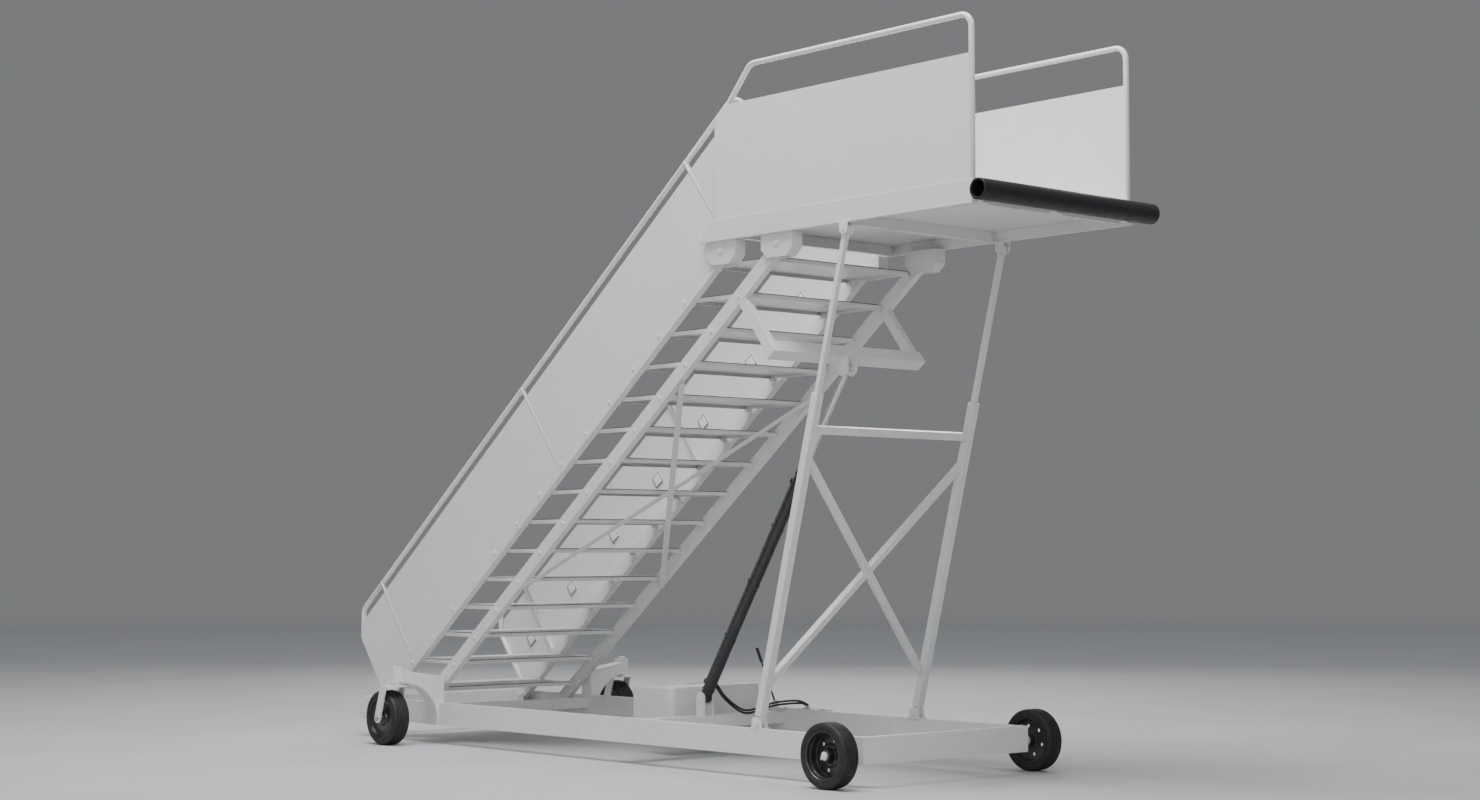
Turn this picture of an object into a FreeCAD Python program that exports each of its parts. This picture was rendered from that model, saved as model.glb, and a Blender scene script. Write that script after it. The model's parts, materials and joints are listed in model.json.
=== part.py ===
"""Towable aircraft boarding stairs with a self-levelling parallelogram flight.

Millimetres and degrees.  +X points from the foot of the stairs to the aircraft, +Y to the left of a
person climbing, +Z up, with the ground at Z = 0.  The origin is on the ground under the middle of
the whole object.  The stairs are drawn fully raised.

Five frames are used, each given to its pieces as their Placement:
  chassis   the world frame
  flight    origin on a stringer's foot pin, X up the slope, Z square to it
  platform  origin on the platform's rear linkage pins, level
  leg       origin on a leg's foot pin, Z up the leg
  ram       origin on the lift cylinder's foot pin, Z up the cylinder
"""
import FreeCAD, Part
import math
import os
import re

import Sketcher
from FreeCAD import Placement, Rotation, Vector

SIZES = (
    # flight linkage
    ("slope", 38.02, "angle of the raised flight"),
    ("stringer_length", 5106, "stringer foot pin to platform pin"),
    ("pin_gap", 548, "level distance between the lower and the upper pin of one tread"),
    ("foot_pin_x", -2520, "lower stringers' foot pin"),
    ("foot_pin_z", 280, "height of all stringer foot pins"),
    ("stringer_depth", 90, "stringer tube, square to the slope"),
    ("stringer_inner", 636, "stringer inner face from the middle"),
    ("stringer_outer", 686, "stringer outer face from the middle"),
    ("tube_wall", 5, "wall of the rectangular tubes"),
    ("lower_overrun", 50, "lower stringer past its platform pin"),
    ("upper_overrun", 100, "upper stringer past its platform pin"),
    ("tread_count", 15, "number of treads"),
    ("first_tread", 166, "foot pin to the first tread's pin, along the slope"),
    ("tread_pitch", 341.2, "tread pin to tread pin, along the slope"),
    ("tread_half", 616, "half of a tread's length"),
    ("tread_rear", 20, "tread behind its lower pin"),
    ("tread_nose", 40, "tread ahead of its upper pin"),
    ("tray_top", 28, "top of the tray above the pins"),
    ("flange_low", 0, "bottom of the tray's flanges"),
    ("lug_low", -22, "bottom of the lugs that carry the tread pins"),
    ("lug_half", 30, "half of a lug's width"),
    ("tray_sheet", 3, "tray sheet"),
    ("tray_cheek", 6, "tray end cheek that carries the pins"),
    ("mat_thick", 5, "rubber mat on the tread"),
    ("bolt_radius", 8, "tread pivot bolt"),
    ("bolt_play", 0.06, "radial play of a running pin"),
    ("head_radius", 12, "bolt head"),
    ("head_height", 8, "bolt head"),
    ("pin_radius", 15, "linkage pin"),
    ("pin_head_radius", 21, "linkage pin head"),
    # side panels and handrails of the flight
    ("sheet", 3, "panel sheet"),
    ("rail_radius", 19, "handrail tube"),
    ("rail_plane", 667, "handrail tube centre from the middle"),
    ("post_radius", 16, "post tube"),
    ("post_plane", 676, "post tube centre from the middle"),
    ("front_edge", 43, "front tube of the side frame, along the slope"),
    ("knee_height", 580, "top of the front tube, square to the slope"),
    ("handrail_height", 755, "handrail centre, square to the slope"),
    ("handrail_end", 5835, "upper end of the handrail, along the slope"),
    ("panel_height", 665, "top edge of the side panel, square to the slope"),
    ("end_panel_low", 250, "lower edge of the panel beyond the stringer"),
    ("post_one", 530, "first post along the slope"),
    ("post_two", 2855, "second post along the slope"),
    ("post_three", 5186, "third post along the slope"),
    ("post_slot", 13, "half of the slot in the sheet at a post"),
    ("lamp_side", 95, "step lamp edge"),
    ("lamp_depth", 12, "step lamp thickness"),
    ("lamp_count", 7, "step lamps on each side"),
    ("lamp_first", 343, "first lamp along the slope"),
    ("lamp_height", 303, "lamp centre, square to the slope"),
    # chassis
    ("chassis_foot", -3306, "stair end of the chassis"),
    ("chassis_nose", 2327, "aircraft end of the chassis"),
    ("rail_inner", 700, "side rail inner face"),
    ("rail_outer", 750, "side rail outer face"),
    ("rail_low", 141, "underside of the side rails"),
    ("rail_high", 309, "top of the side rails"),
    ("end_beam", 50, "width of the end beams"),
    ("ram_beam_x", -30, "middle of the beam under the lift cylinder"),
    ("ram_beam_width", 140, "its width"),
    ("foot_beam_x", -2270, "middle of the second cross beam"),
    ("foot_beam_width", 60, "its width"),
    ("cross_low", 209, "underside of the cross beams"),
    ("cross_high", 289, "top of the cross beams"),
    # wheels
    ("wheel_radius", 203, "tyre radius, all four wheels"),
    ("wheel_axle_x", 2214, "fixed wheel axle"),
    ("wheel_inner", 865, "fixed wheel inner face"),
    ("wheel_outer", 995, "fixed wheel outer face"),
    ("rim_radius", 147, "rim opening"),
    ("axle_radius", 22, "fixed axle"),
    ("swivel_x", -2310, "caster swivel axis"),
    ("swivel_y", 1080, "caster swivel axis from the middle"),
    ("caster_trail", 95, "swivel axis to caster axle"),
    ("caster_width", 140, "caster wheel width"),
    ("arm_x", -2280, "middle of the outrigger arm"),
    ("arm_width", 120, "outrigger arm along the chassis"),
    ("arm_root_high", 500, "top of the arm at the chassis rail"),
    ("arm_high", 556, "top of the arm at the swivel"),
    ("arch_radius", 292, "arch under the outrigger arm"),
    ("arch_y", 1050, "middle of the arch"),
    ("arch_z", 170, "middle of the arch"),
    ("housing", 80, "square swivel housing"),
    ("housing_low", 470, "underside of the swivel housing"),
    ("housing_high", 580, "top of the swivel housing"),
    ("stem_radius", 20, "caster swivel stem"),
    ("fork_top", 446, "top of the fork's plate"),
    ("fork_plate", 12, "fork top plate"),
    ("fork_gap", 81, "fork leg inner face from the wheel's middle"),
    ("fork_leg", 12, "fork leg thickness"),
    ("fork_leg_width", 75, "fork leg width"),
    # legs
    ("leg_plane", 720, "leg centre from the middle"),
    ("leg_foot_x", 1350, "leg foot pin"),
    ("leg_foot_z", 345, "leg foot pin"),
    ("leg_top_x", 1209.5, "leg top pin ahead of the rear platform pins"),
    ("leg_top_z", 24, "leg top pin above the rear platform pins"),
    ("leg_tube", 56, "outer leg tube"),
    ("leg_slider", 34, "inner leg tube"),
    ("leg_tube_top", 2157, "upper end of the outer leg tubes"),
    ("leg_crossbar", 1925, "crossbar along the legs"),
    ("leg_brace_low", 280, "lower ends of the leg braces"),
    ("leg_brace_high", 1720, "upper ends of the leg braces"),
    ("slider_end", 1350, "lower end of the inner leg tubes, raised"),
    ("ear_radius", 40, "rounded ears of the leg brackets"),
    # lift cylinder
    ("ram_foot_x", -20, "cylinder foot pin"),
    ("ram_foot_z", 415, "cylinder foot pin"),
    ("barrel_radius", 41.5, "barrel outside"),
    ("bore_radius", 32, "barrel bore"),
    ("barrel_end", 1830, "upper end of the barrel"),
    ("rod_radius", 22, "piston rod"),
    ("piston_at", 1560, "piston in the barrel, raised"),
    ("ram_beam_along", 4610, "cylinder cross tube along the slope"),
    ("ram_beam_drop", -480, "cylinder cross tube, square to the slope"),
    ("ram_pin_along", 4560, "rod end pin along the slope"),
    ("ram_pin_drop", -565, "rod end pin, square to the slope"),
    ("brace_low", 1550, "lower ends of the stringer braces, along the slope"),
    ("brace_high", 3750, "upper ends of the stringer braces, along the slope"),
    # platform
    ("beam_inner", 702, "platform side beam inner face"),
    ("beam_outer", 740, "platform side beam outer face"),
    ("beam_low", 65, "underside of the beams above the rear pins"),
    ("beam_high", 207, "top of the beams"),
    ("beam_rear", -197, "rear lower corner of the beams"),
    ("beam_rear_top", -66, "rear upper corner of the beams"),
    ("beam_front", 2288, "front of the beams"),
    ("deck_top", 140, "walking surface above the rear pins"),
    ("deck_sheet", 6, "deck plate"),
    ("deck_rear", 156, "rear edge of the deck"),
    ("guard_plane", 715, "guard tube centre from the middle"),
    ("guard_radius", 18, "guard tube"),
    ("guard_rear", -27, "rear guard post"),
    ("guard_front", 2270, "front guard post"),
    ("guard_knee", 842, "top of the rear guard post"),
    ("guard_bend", 304, "rear end of the top rail"),
    ("guard_top", 1205, "top rail centre"),
    ("guard_panel_top", 963, "top of the guard panel"),
    ("bumper_x", 2390.8, "bumper axis ahead of the rear pins"),
    ("bumper_z", 131, "bumper axis above the rear pins"),
    ("bumper_radius", 65, "bumper outside"),
    ("bumper_bore", 51, "bumper bore"),
    ("bumper_half", 806, "half of the bumper's length"),
    ("bracket_half", 147, "half of a linkage bracket's length"),
    ("bracket_low", -90, "underside of a linkage bracket"),
    ("bracket_face", 700, "bracket plate inner face from the middle"),
    ("bracket_plate", 12, "bracket plate"),
    ("bracket_gap", 4, "bracket's inner plate to the stringer"),
    # hydraulics
    ("tank_rear", -640, "tank along the chassis"),
    ("tank_front", -190, "tank along the chassis"),
    ("tank_right", -170, "tank across the chassis"),
    ("tank_left", 686, "tank across the chassis"),
    ("tank_low", 205, "underside of the tank"),
    ("tank_high", 490, "top of the tank"),
    ("tank_corner", 45, "rounded upright edges"),
    ("tank_sheet", 4, "tank sheet"),
    ("pump_rear", -176, "pump plate on the left side rail"),
    ("pump_front", 444, "pump plate on the left side rail"),
    ("pump_edge", 800, "outer edge of the pump plate"),
    ("pump_plate", 8, "pump plate"),
    ("lever_x", -79, "pump lever pivot"),
    ("lever_z", 350, "pump lever pivot"),
    ("lever_y", 722, "pump lever from the middle"),
    ("lever_length", 430, "pump lever"),
    ("lever_tilt", 27.4, "pump lever off the vertical, to the rear"),
    ("hose_radius", 8, "hydraulic hose"),
)

doc = FreeCAD.newDocument("BoardingStairs")
ALIASES = {alias for alias, _, _ in SIZES}
SIDES = (("right", -1), ("left", 1))
nodes = []


# ---------------------------------------------------------------- sheet and formulas

def make_sheet():
    """The driving dimensions: alias, plain number and meaning, one row each."""
    sheet = doc.addObject("Spreadsheet::Sheet", "Sizes")
    for row, (alias, number, meaning) in enumerate(SIZES, start=1):
        sheet.set(f"A{row}", alias)
        sheet.set(f"B{row}", str(number))
        sheet.set(f"C{row}", meaning)
        sheet.setAlias(f"B{row}", alias)
    doc.recompute()
    return sheet


def formula(text):
    """A formula in which each alias is a reference to the sheet."""
    return re.sub(r"[a-z_]+", lambda m: "Sizes." + m.group() if m.group() in ALIASES else m.group(), str(text))


def bind(item, prop, text):
    """Bind a property to a formula of sheet aliases."""
    item.setExpression(prop, formula(text))


def size(text):
    """The present value of a formula of sheet aliases."""
    number = sheet.evalExpression(formula(text))
    return float(getattr(number, "Value", number))


# ---------------------------------------------------------------- frames

FLIGHT_FOOT = ("foot_pin_x", "0", "foot_pin_z")
FLIGHT_HEAD = ("foot_pin_x - pin_gap", "0", "foot_pin_z")
PLATFORM = ("foot_pin_x - pin_gap + stringer_length * cos(slope)", "0",
            "foot_pin_z + stringer_length * sin(slope)")
WORLD_FRAME = (("0", "0", "0"), None)
LOWER_FRAME = (FLIGHT_FOOT, "-slope")
UPPER_FRAME = (FLIGHT_HEAD, "-slope")
PLATFORM_FRAME = (PLATFORM, None)



def strut(foot, head):
    """Length and lean off the vertical, as formulas, of a strut between two points of the middle plane."""
    run, rise = (f"(({high}) - ({low}))" for low, high in zip(foot, head))
    return f"sqrt({run}^2 + {rise}^2)", f"atan({run} / {rise})"


LEG_FOOT = ("leg_foot_x", "leg_foot_z")
LEG_HEAD = (f"{PLATFORM[0]} + leg_top_x", f"{PLATFORM[2]} + leg_top_z")
RAM_FOOT = ("ram_foot_x", "ram_foot_z")
RAM_HEAD = ("foot_pin_x + ram_pin_along * cos(slope) - ram_pin_drop * sin(slope)",
            "foot_pin_z + ram_pin_along * sin(slope) + ram_pin_drop * cos(slope)")
LEG_LENGTH, LEG_TILT = strut(LEG_FOOT, LEG_HEAD)
RAM_LENGTH, RAM_TILT = strut(RAM_FOOT, RAM_HEAD)
LEG_FRAME = ((LEG_FOOT[0], "0", LEG_FOOT[1]), LEG_TILT)
RAM_FRAME = ((RAM_FOOT[0], "0", RAM_FOOT[1]), RAM_TILT)
LEVER_FRAME = (("lever_x", "lever_y", "lever_z"), "-lever_tilt")


def place(item, frame):
    """Give an object the Placement of a frame: an origin and a turn about Y."""
    origin, turn = frame
    item.Placement = Placement(Vector(), Rotation(Vector(0, 1, 0), 1.0 if turn else 0.0))
    for axis, text in zip("xyz", origin):
        bind(item, f"Placement.Base.{axis}", text)
    if turn:
        bind(item, "Placement.Rotation.Angle", turn)


def node(label, item, frame=WORLD_FRAME, framed=False):
    """Register an object as a sub-part under its own label."""
    item.Label = label
    if not framed:
        place(item, frame)
    nodes.append(item)
    return item


# ---------------------------------------------------------------- solids from primitives

def box(x, y, z):
    """A block between pairs of formulas."""
    item = doc.addObject("Part::Box", "Block")
    for prop, axis, (low, high) in zip(("Length", "Width", "Height"), "xyz", (x, y, z)):
        bind(item, prop, f"({high}) - ({low})")
        bind(item, f"Placement.Base.{axis}", low)
    return item


AXIS_TURN = {"x": (Vector(0, 1, 0), 90), "y": (Vector(1, 0, 0), -90), "z": (Vector(0, 0, 1), 0)}


def rod(axis, centre, span, radius):
    """A round bar along an axis: centre gives the other two coordinates, span its two ends."""
    item = doc.addObject("Part::Cylinder", "Bar")
    item.Placement = Placement(Vector(), Rotation(*AXIS_TURN[axis]))
    others = [name for name in "xyz" if name != axis]
    for name, text in zip(others, centre):
        bind(item, f"Placement.Base.{name}", text)
    bind(item, f"Placement.Base.{axis}", span[0])
    bind(item, "Height", f"({span[1]}) - ({span[0]})")
    bind(item, "Radius", radius)
    return item


def fuse(items):
    """One solid from touching or crossing pieces."""
    item = doc.addObject("Part::MultiFuse", "Joined")
    item.Shapes = items
    item.Refine = True
    return item


def cut(base, tools):
    """A piece less one or more tools."""
    item = doc.addObject("Part::Cut", "Cut")
    item.Base = base
    item.Tool = tools[0] if len(tools) == 1 else fuse(tools)
    return item


def group(items):
    """Separate solids that form one sub-part."""
    item = doc.addObject("Part::Compound", "Set")
    item.Links = items
    return item


def mirrored(item):
    """The same piece on the other side of the middle plane."""
    copy = doc.addObject("Part::Mirroring", "Mirror")
    copy.Source = item
    copy.Normal = Vector(0, 1, 0)
    return copy


def both_sides(item):
    """A piece of the left side together with its mirror image."""
    return group([item, mirrored(item)])


# ---------------------------------------------------------------- solids from sketches

PLANES = {"xz": "XZ_Plane", "xy": "XY_Plane", "yz": "YZ_Plane"}


def new_sketch(body, plane, offset="0"):
    """A sketch on one of the body's own planes, moved along the plane's normal."""
    support = next(item for item in body.Origin.OriginFeatures if item.Role == PLANES[plane])
    sketch = body.newObject("Sketcher::SketchObject", "Sketch")
    sketch.AttachmentSupport = (support, "")
    sketch.MapMode = "FlatFace"
    bind(sketch, "AttachmentOffset.Base.z", offset)
    return sketch


def constrain(sketch, kind, name, places, text):
    """Add one dimension to a sketch and bind it to a formula."""
    index = sketch.addConstraint(Sketcher.Constraint(kind, *places, size(text)))
    sketch.renameConstraint(index, name)
    bind(sketch, f"Constraints.{name}", text)


def chain(sketch, corners, closed=True):
    """Straight edges through corners (across, up[, bend radius]) given as formulas."""
    first = sketch.GeometryCount
    points = [Vector(size(corner[0]), size(corner[1]), 0) for corner in corners]
    count = len(points)
    edges = count if closed else count - 1
    for i in range(edges):
        sketch.addGeometry(Part.LineSegment(points[i], points[(i + 1) % count]), False)
    for i in range(edges if closed else edges - 1):
        sketch.addConstraint(Sketcher.Constraint("Coincident", first + i, 2, first + (i + 1) % count, 1))
    for i, corner in enumerate(corners):
        edge, end = (i, 1) if i < edges else (i - 1, 2)
        constrain(sketch, "DistanceX", f"across{first}_{i}", (-1, 1, first + edge, end), corner[0])
        constrain(sketch, "DistanceY", f"up{first}_{i}", (-1, 1, first + edge, end), corner[1])
    for i, corner in enumerate(corners):
        if len(corner) > 2:
            before = sketch.GeometryCount
            sketch.fillet(first + (i - 1) % count, 2, size(corner[2]), True, True)
            added = range(before, sketch.GeometryCount)
            arc = next(k for k in added if isinstance(sketch.Geometry[k], Part.ArcOfCircle))
            constrain(sketch, "Radius", f"bend{first}_{i}", (arc,), corner[2])


def circle(sketch, across, up, radius):
    """A circle whose centre and radius are formulas."""
    centre = Vector(size(across), size(up), 0)
    edge = sketch.addGeometry(Part.Circle(centre, Vector(0, 0, 1), size(radius)), False)
    constrain(sketch, "DistanceX", f"across{edge}", (-1, 1, edge, 3), across)
    constrain(sketch, "DistanceY", f"up{edge}", (-1, 1, edge, 3), up)
    constrain(sketch, "Radius", f"radius{edge}", (edge,), radius)


def plate(plane, corners, low, high, holes=()):
    """A flat outline with round holes, padded between two positions along its plane's normal axis."""
    body = doc.addObject("PartDesign::Body", "Plate")
    start = f"-({high})" if plane == "xz" else low
    sketch = new_sketch(body, plane, start)
    chain(sketch, corners)
    for hole in holes:
        circle(sketch, *hole)
    pad = body.newObject("PartDesign::Pad", "Pad")
    pad.Profile = sketch
    bind(pad, "Length", f"({high}) - ({low})")
    return body


def rectangle(left, right, low, high, corner=None):
    """The four corners of a rectangle."""
    corners = [(left, low), (right, low), (right, high), (left, high)]
    return [point + (corner,) for point in corners] if corner else corners


def box_tube(plane, across, up, span, wall="tube_wall"):
    """A rectangular tube along the plane's normal axis."""
    body = doc.addObject("PartDesign::Body", "Tube")
    sketch = new_sketch(body, plane, f"-({span[1]})" if plane == "xz" else span[0])
    chain(sketch, rectangle(across[0], across[1], up[0], up[1]))
    inner_across = (f"{across[0]} + {wall}", f"{across[1]} - {wall}")
    inner_up = (f"{up[0]} + {wall}", f"{up[1]} - {wall}")
    chain(sketch, rectangle(*inner_across, *inner_up))
    pad = body.newObject("PartDesign::Pad", "Pad")
    pad.Profile = sketch
    bind(pad, "Length", f"({span[1]}) - ({span[0]})")
    return body


def diagonal(plane, start, end, width, low, high):
    """A flat bar between two points of a plane, run on past both ends by its own width."""
    run, rise = (f"(({far}) - ({near}))" for near, far in zip(start, end))
    length = f"sqrt({run}^2 + {rise}^2)"
    along = (f"{run} / {length}", f"{rise} / {length}")

    def corner(point, ahead, aside):
        return (f"{point[0]} + ({ahead}) * {along[0]} - ({aside}) * {along[1]}",
                f"{point[1]} + ({ahead}) * {along[1]} + ({aside}) * {along[0]}")
    corners = [corner(start, f"-({width})", f"-({width}) / 2"), corner(end, width, f"-({width}) / 2"),
               corner(end, width, f"({width}) / 2"), corner(start, f"-({width})", f"({width}) / 2")]
    return plate(plane, corners, low, high)


def bent_bar(corners, y, radius):
    """A round bar bent along a path in the XZ plane at a fixed Y, starting upward from its first corner."""
    body = doc.addObject("PartDesign::Body", "BentTube")
    path = new_sketch(body, "xz", f"-({y})")
    chain(path, corners, closed=False)
    profile = new_sketch(body, "xy", corners[0][1])
    circle(profile, corners[0][0], y, radius)
    pipe = body.newObject("PartDesign::AdditivePipe", "Pipe")
    pipe.Profile = profile
    pipe.Spine = (path, [])
    return body


def turned(profile):
    """A round piece about its own Z axis from an outline of (radius, height) corners."""
    body = doc.addObject("PartDesign::Body", "Turned")
    sketch = new_sketch(body, "xz")
    chain(sketch, profile)
    spin = body.newObject("PartDesign::Revolution", "Revolution")
    spin.Profile = sketch
    spin.ReferenceAxis = (sketch, ["V_Axis"])
    spin.Angle = 360
    return body


# ---------------------------------------------------------------- chassis

def half(text):
    return f"({text}) / 2"


def chassis_rails():
    """Two box-section side rails, drilled for the stringer foot pins and the wheel axles."""
    tube = box_tube("yz", ("rail_inner", "rail_outer"), ("rail_low", "rail_high"),
                    ("chassis_foot + end_beam", "chassis_nose - end_beam"))
    inner_wall = ("rail_inner - 1", "rail_inner + tube_wall + 1")
    outer_wall = ("rail_outer - tube_wall - 1", "rail_outer + 1")
    bores = [
        rod("y", ("foot_pin_x", "foot_pin_z"), inner_wall, "pin_radius"),
        rod("y", ("foot_pin_x - pin_gap", "foot_pin_z"), inner_wall, "pin_radius"),
        rod("y", ("wheel_axle_x", "wheel_radius"), outer_wall, "axle_radius"),
    ]
    node("chassis_rails", both_sides(cut(tube, bores)))


def end_caps(x, z, reach):
    """Plates that close both ends of a rectangular tube laid across the machine."""
    inside = [(f"{low} + tube_wall / 2", f"{high} - tube_wall / 2") for low, high in (x, z)]
    return [box(inside[0], span, inside[1])
            for span in ((f"{reach} - tube_wall", reach), (f"-({reach})", f"-({reach}) + tube_wall"))]


def closed_beam(x, z, reach):
    """A rectangular tube across the machine with closed ends."""
    return fuse([box_tube("xz", x, z, (f"-({reach})", reach))] + end_caps(x, z, reach))


def chassis_cross_members():
    """The end beams, the two inner cross beams and the ears that carry the lift cylinder's foot."""
    nose = closed_beam(("chassis_nose - end_beam", "chassis_nose"), ("rail_low", "rail_high"), "rail_outer")
    foot = closed_beam(("chassis_foot", "chassis_foot + end_beam"), ("rail_low", "rail_high"), "rail_outer")
    second = box_tube("xz", ("foot_beam_x - foot_beam_width / 2", "foot_beam_x + foot_beam_width / 2"),
                      ("cross_low", "cross_high"), ("-rail_inner", "rail_inner"))
    under_ram = box_tube("xz", ("ram_beam_x - ram_beam_width / 2", "ram_beam_x + ram_beam_width / 2"),
                         ("cross_low", "cross_high"), ("-rail_inner", "rail_inner"))
    ear_outline = [("ram_foot_x - 42", "cross_high"), ("ram_foot_x + 42", "cross_high"),
                   ("ram_foot_x + 42", "ram_foot_z + 42", "41"), ("ram_foot_x - 42", "ram_foot_z + 42", "41")]
    ears = [plate("xz", ear_outline, low, high, [("ram_foot_x", "ram_foot_z", "18")])
            for low, high in (("34", "46"), ("-46", "-34"))]
    node("chassis_cross_members", group([nose, foot, second, fuse([under_ram] + ears)]))


def caster_outriggers():
    """Arched arms that carry the caster swivels outside the rails."""
    reach = "swivel_y - housing / 2 + 4"
    corners = [("rail_outer", "rail_low"), ("rail_outer + 20", "rail_low"), ("rail_outer + 20", "arch_z"),
               (reach, "arch_z"), (reach, "arm_high"), ("rail_inner", "arm_root_high"), ("rail_inner", "rail_high"),
               ("rail_outer", "rail_high")]
    blank = plate("yz", corners, "arm_x - arm_width / 2", "arm_x + arm_width / 2")
    arch = rod("x", ("arch_y", "arch_z"), ("arm_x - arm_width", "arm_x + arm_width"), "arch_radius")
    arm = cut(blank, [arch])
    housing = box(("swivel_x - housing / 2", "swivel_x + housing / 2"),
                  ("swivel_y - housing / 2", "swivel_y + housing / 2"), ("housing_low", "housing_high"))
    bore = rod("z", ("swivel_x", "swivel_y"), ("housing_low - 1", "housing_high + 1"), "stem_radius + bolt_play")
    node("caster_outriggers", both_sides(cut(fuse([arm, housing]), [bore])))


def stringer_foot_brackets():
    """Angle brackets inside the rails that hold the inner ends of the stringer foot pins."""
    brackets = []
    for pin in ("foot_pin_x", "foot_pin_x - pin_gap"):
        shelf = box((f"{pin} - 60", f"{pin} + 60"), ("stringer_inner - 14", "rail_inner"),
                    ("foot_pin_z - 90", "foot_pin_z - 82"))
        outline = [(f"{pin} - 60", "foot_pin_z - 82"), (f"{pin} + 60", "foot_pin_z - 82"),
                   (f"{pin} + 32", "foot_pin_z + 32", "26"), (f"{pin} - 32", "foot_pin_z + 32", "26")]
        ear = plate("xz", outline, "stringer_inner - 14", "stringer_inner - 4", [(pin, "foot_pin_z", "pin_radius")])
        brackets += [fuse([shelf, ear])]
    node("stringer_foot_brackets", both_sides(group(brackets)))


def leg_foot_brackets():
    """Two rounded ears on a base plate for each leg foot."""
    base = box(("leg_foot_x - 62", "leg_foot_x + 62"), ("leg_plane - 30", "leg_plane + 30"),
               ("rail_high", "rail_high + 8"))
    ear_outline = [("leg_foot_x - ear_radius - 8", "rail_high + 8"), ("leg_foot_x + ear_radius + 8", "rail_high + 8"),
                   ("leg_foot_x + ear_radius", "leg_foot_z + ear_radius", "36"),
                   ("leg_foot_x - ear_radius", "leg_foot_z + ear_radius", "36")]
    bore = [("leg_foot_x", "leg_foot_z", "pin_radius")]
    ears = [plate("xz", ear_outline, "leg_plane - 30", "leg_plane - 20", bore),
            plate("xz", ear_outline, "leg_plane + 20", "leg_plane + 30", bore)]
    node("leg_foot_brackets", both_sides(fuse([base] + ears)))


def base_pivot_pins():
    """The pins of the stringer feet, of the leg feet and of the lift cylinder's foot."""
    pins = []
    for pin in ("foot_pin_x", "foot_pin_x - pin_gap"):
        shank = rod("y", (pin, "foot_pin_z"), ("stringer_inner - 14", "rail_inner + tube_wall + 10"), "pin_radius")
        head = rod("y", (pin, "foot_pin_z"), ("stringer_inner - 22", "stringer_inner - 14"), "pin_head_radius")
        pins += [fuse([shank, head])]
    shank = rod("y", ("leg_foot_x", "leg_foot_z"), ("leg_plane - 30", "leg_plane + 30"), "pin_radius")
    heads = [rod("y", ("leg_foot_x", "leg_foot_z"), span, "pin_head_radius")
             for span in (("leg_plane - 38", "leg_plane - 30"), ("leg_plane + 30", "leg_plane + 38"))]
    pins += [fuse([shank] + heads)]
    ram_shank = rod("y", ("ram_foot_x", "ram_foot_z"), ("-46", "46"), "18")
    ram_heads = [rod("y", ("ram_foot_x", "ram_foot_z"), span, "24") for span in (("-52", "-46"), ("46", "52"))]
    sides = both_sides(group(pins))
    node("base_pivot_pins", group([sides, fuse([ram_shank] + ram_heads)]))


def hydraulic_tank():
    """A rounded sheet tank with a filler hole in its rear face."""
    shell = plate("xy", rectangle("tank_rear", "tank_front", "tank_right", "tank_left", "tank_corner"),
                  "tank_low", "tank_high")
    doc.recompute()
    pad = shell.Tip
    rims = [f"Edge{i}" for i, edge in enumerate(pad.Shape.Edges, start=1)
            if edge.BoundBox.ZMin > size("tank_high") - 0.1]
    fillet = shell.newObject("PartDesign::Fillet", "Fillet")
    fillet.Base = (pad, rims)
    bind(fillet, "Radius", "tank_corner * 0.6")
    cavity = box(("tank_rear + tank_corner * 0.4", "tank_front - tank_corner * 0.4"),
                 ("tank_right + tank_corner * 0.4", "tank_left - tank_corner * 0.4"),
                 ("tank_low + tank_sheet", "tank_high - tank_corner * 0.4"))
    neck = rod("x", ("tank_left - 150", "tank_high - 90"), ("tank_rear - 1", "tank_rear + tank_corner"), "25")
    node("hydraulic_tank", cut(shell, [cavity, neck]))
    cap = rod("x", ("tank_left - 150", "tank_high - 90"), ("tank_rear - 24", "tank_rear"), "34")
    plug = rod("x", ("tank_left - 150", "tank_high - 90"), ("tank_rear", "tank_rear + 15"), "24")
    node("tank_filler_cap", fuse([cap, plug]))


def hand_pump():
    """The emergency hand pump: its plate on the left rail, its body outside the rail and the lever's ears."""
    top = box(("pump_rear", "pump_front"), ("rail_inner - 4", "pump_edge"), ("rail_high", "rail_high + pump_plate"))
    body = box(("pump_rear + 60", "pump_rear + 330"), ("rail_outer + 4", "pump_edge"), ("rail_high - 95", "rail_high"))
    ears = [box(("lever_x - 18", "lever_x + 18"), span, ("rail_high + pump_plate", "lever_z + 14"))
            for span in (("lever_y - 16", "lever_y - 10"), ("lever_y + 10", "lever_y + 16"))]
    pin = rod("y", ("lever_x", "lever_z"), ("lever_y - 20", "lever_y + 20"), "6")
    node("hand_pump", fuse([top, body] + ears + [pin]))


def pump_lever():
    """The pump's lever on its pin."""
    boss = rod("y", ("0", "0"), ("-9", "9"), "12")
    bar = rod("z", ("0", "0"), ("0", "lever_length"), "7")
    grip = rod("z", ("0", "0"), ("lever_length - 110", "lever_length"), "11")
    bore = rod("y", ("0", "0"), ("-10", "10"), "6 + bolt_play")
    node("pump_lever", cut(fuse([boss, bar, grip]), [bore]), LEVER_FRAME)


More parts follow.
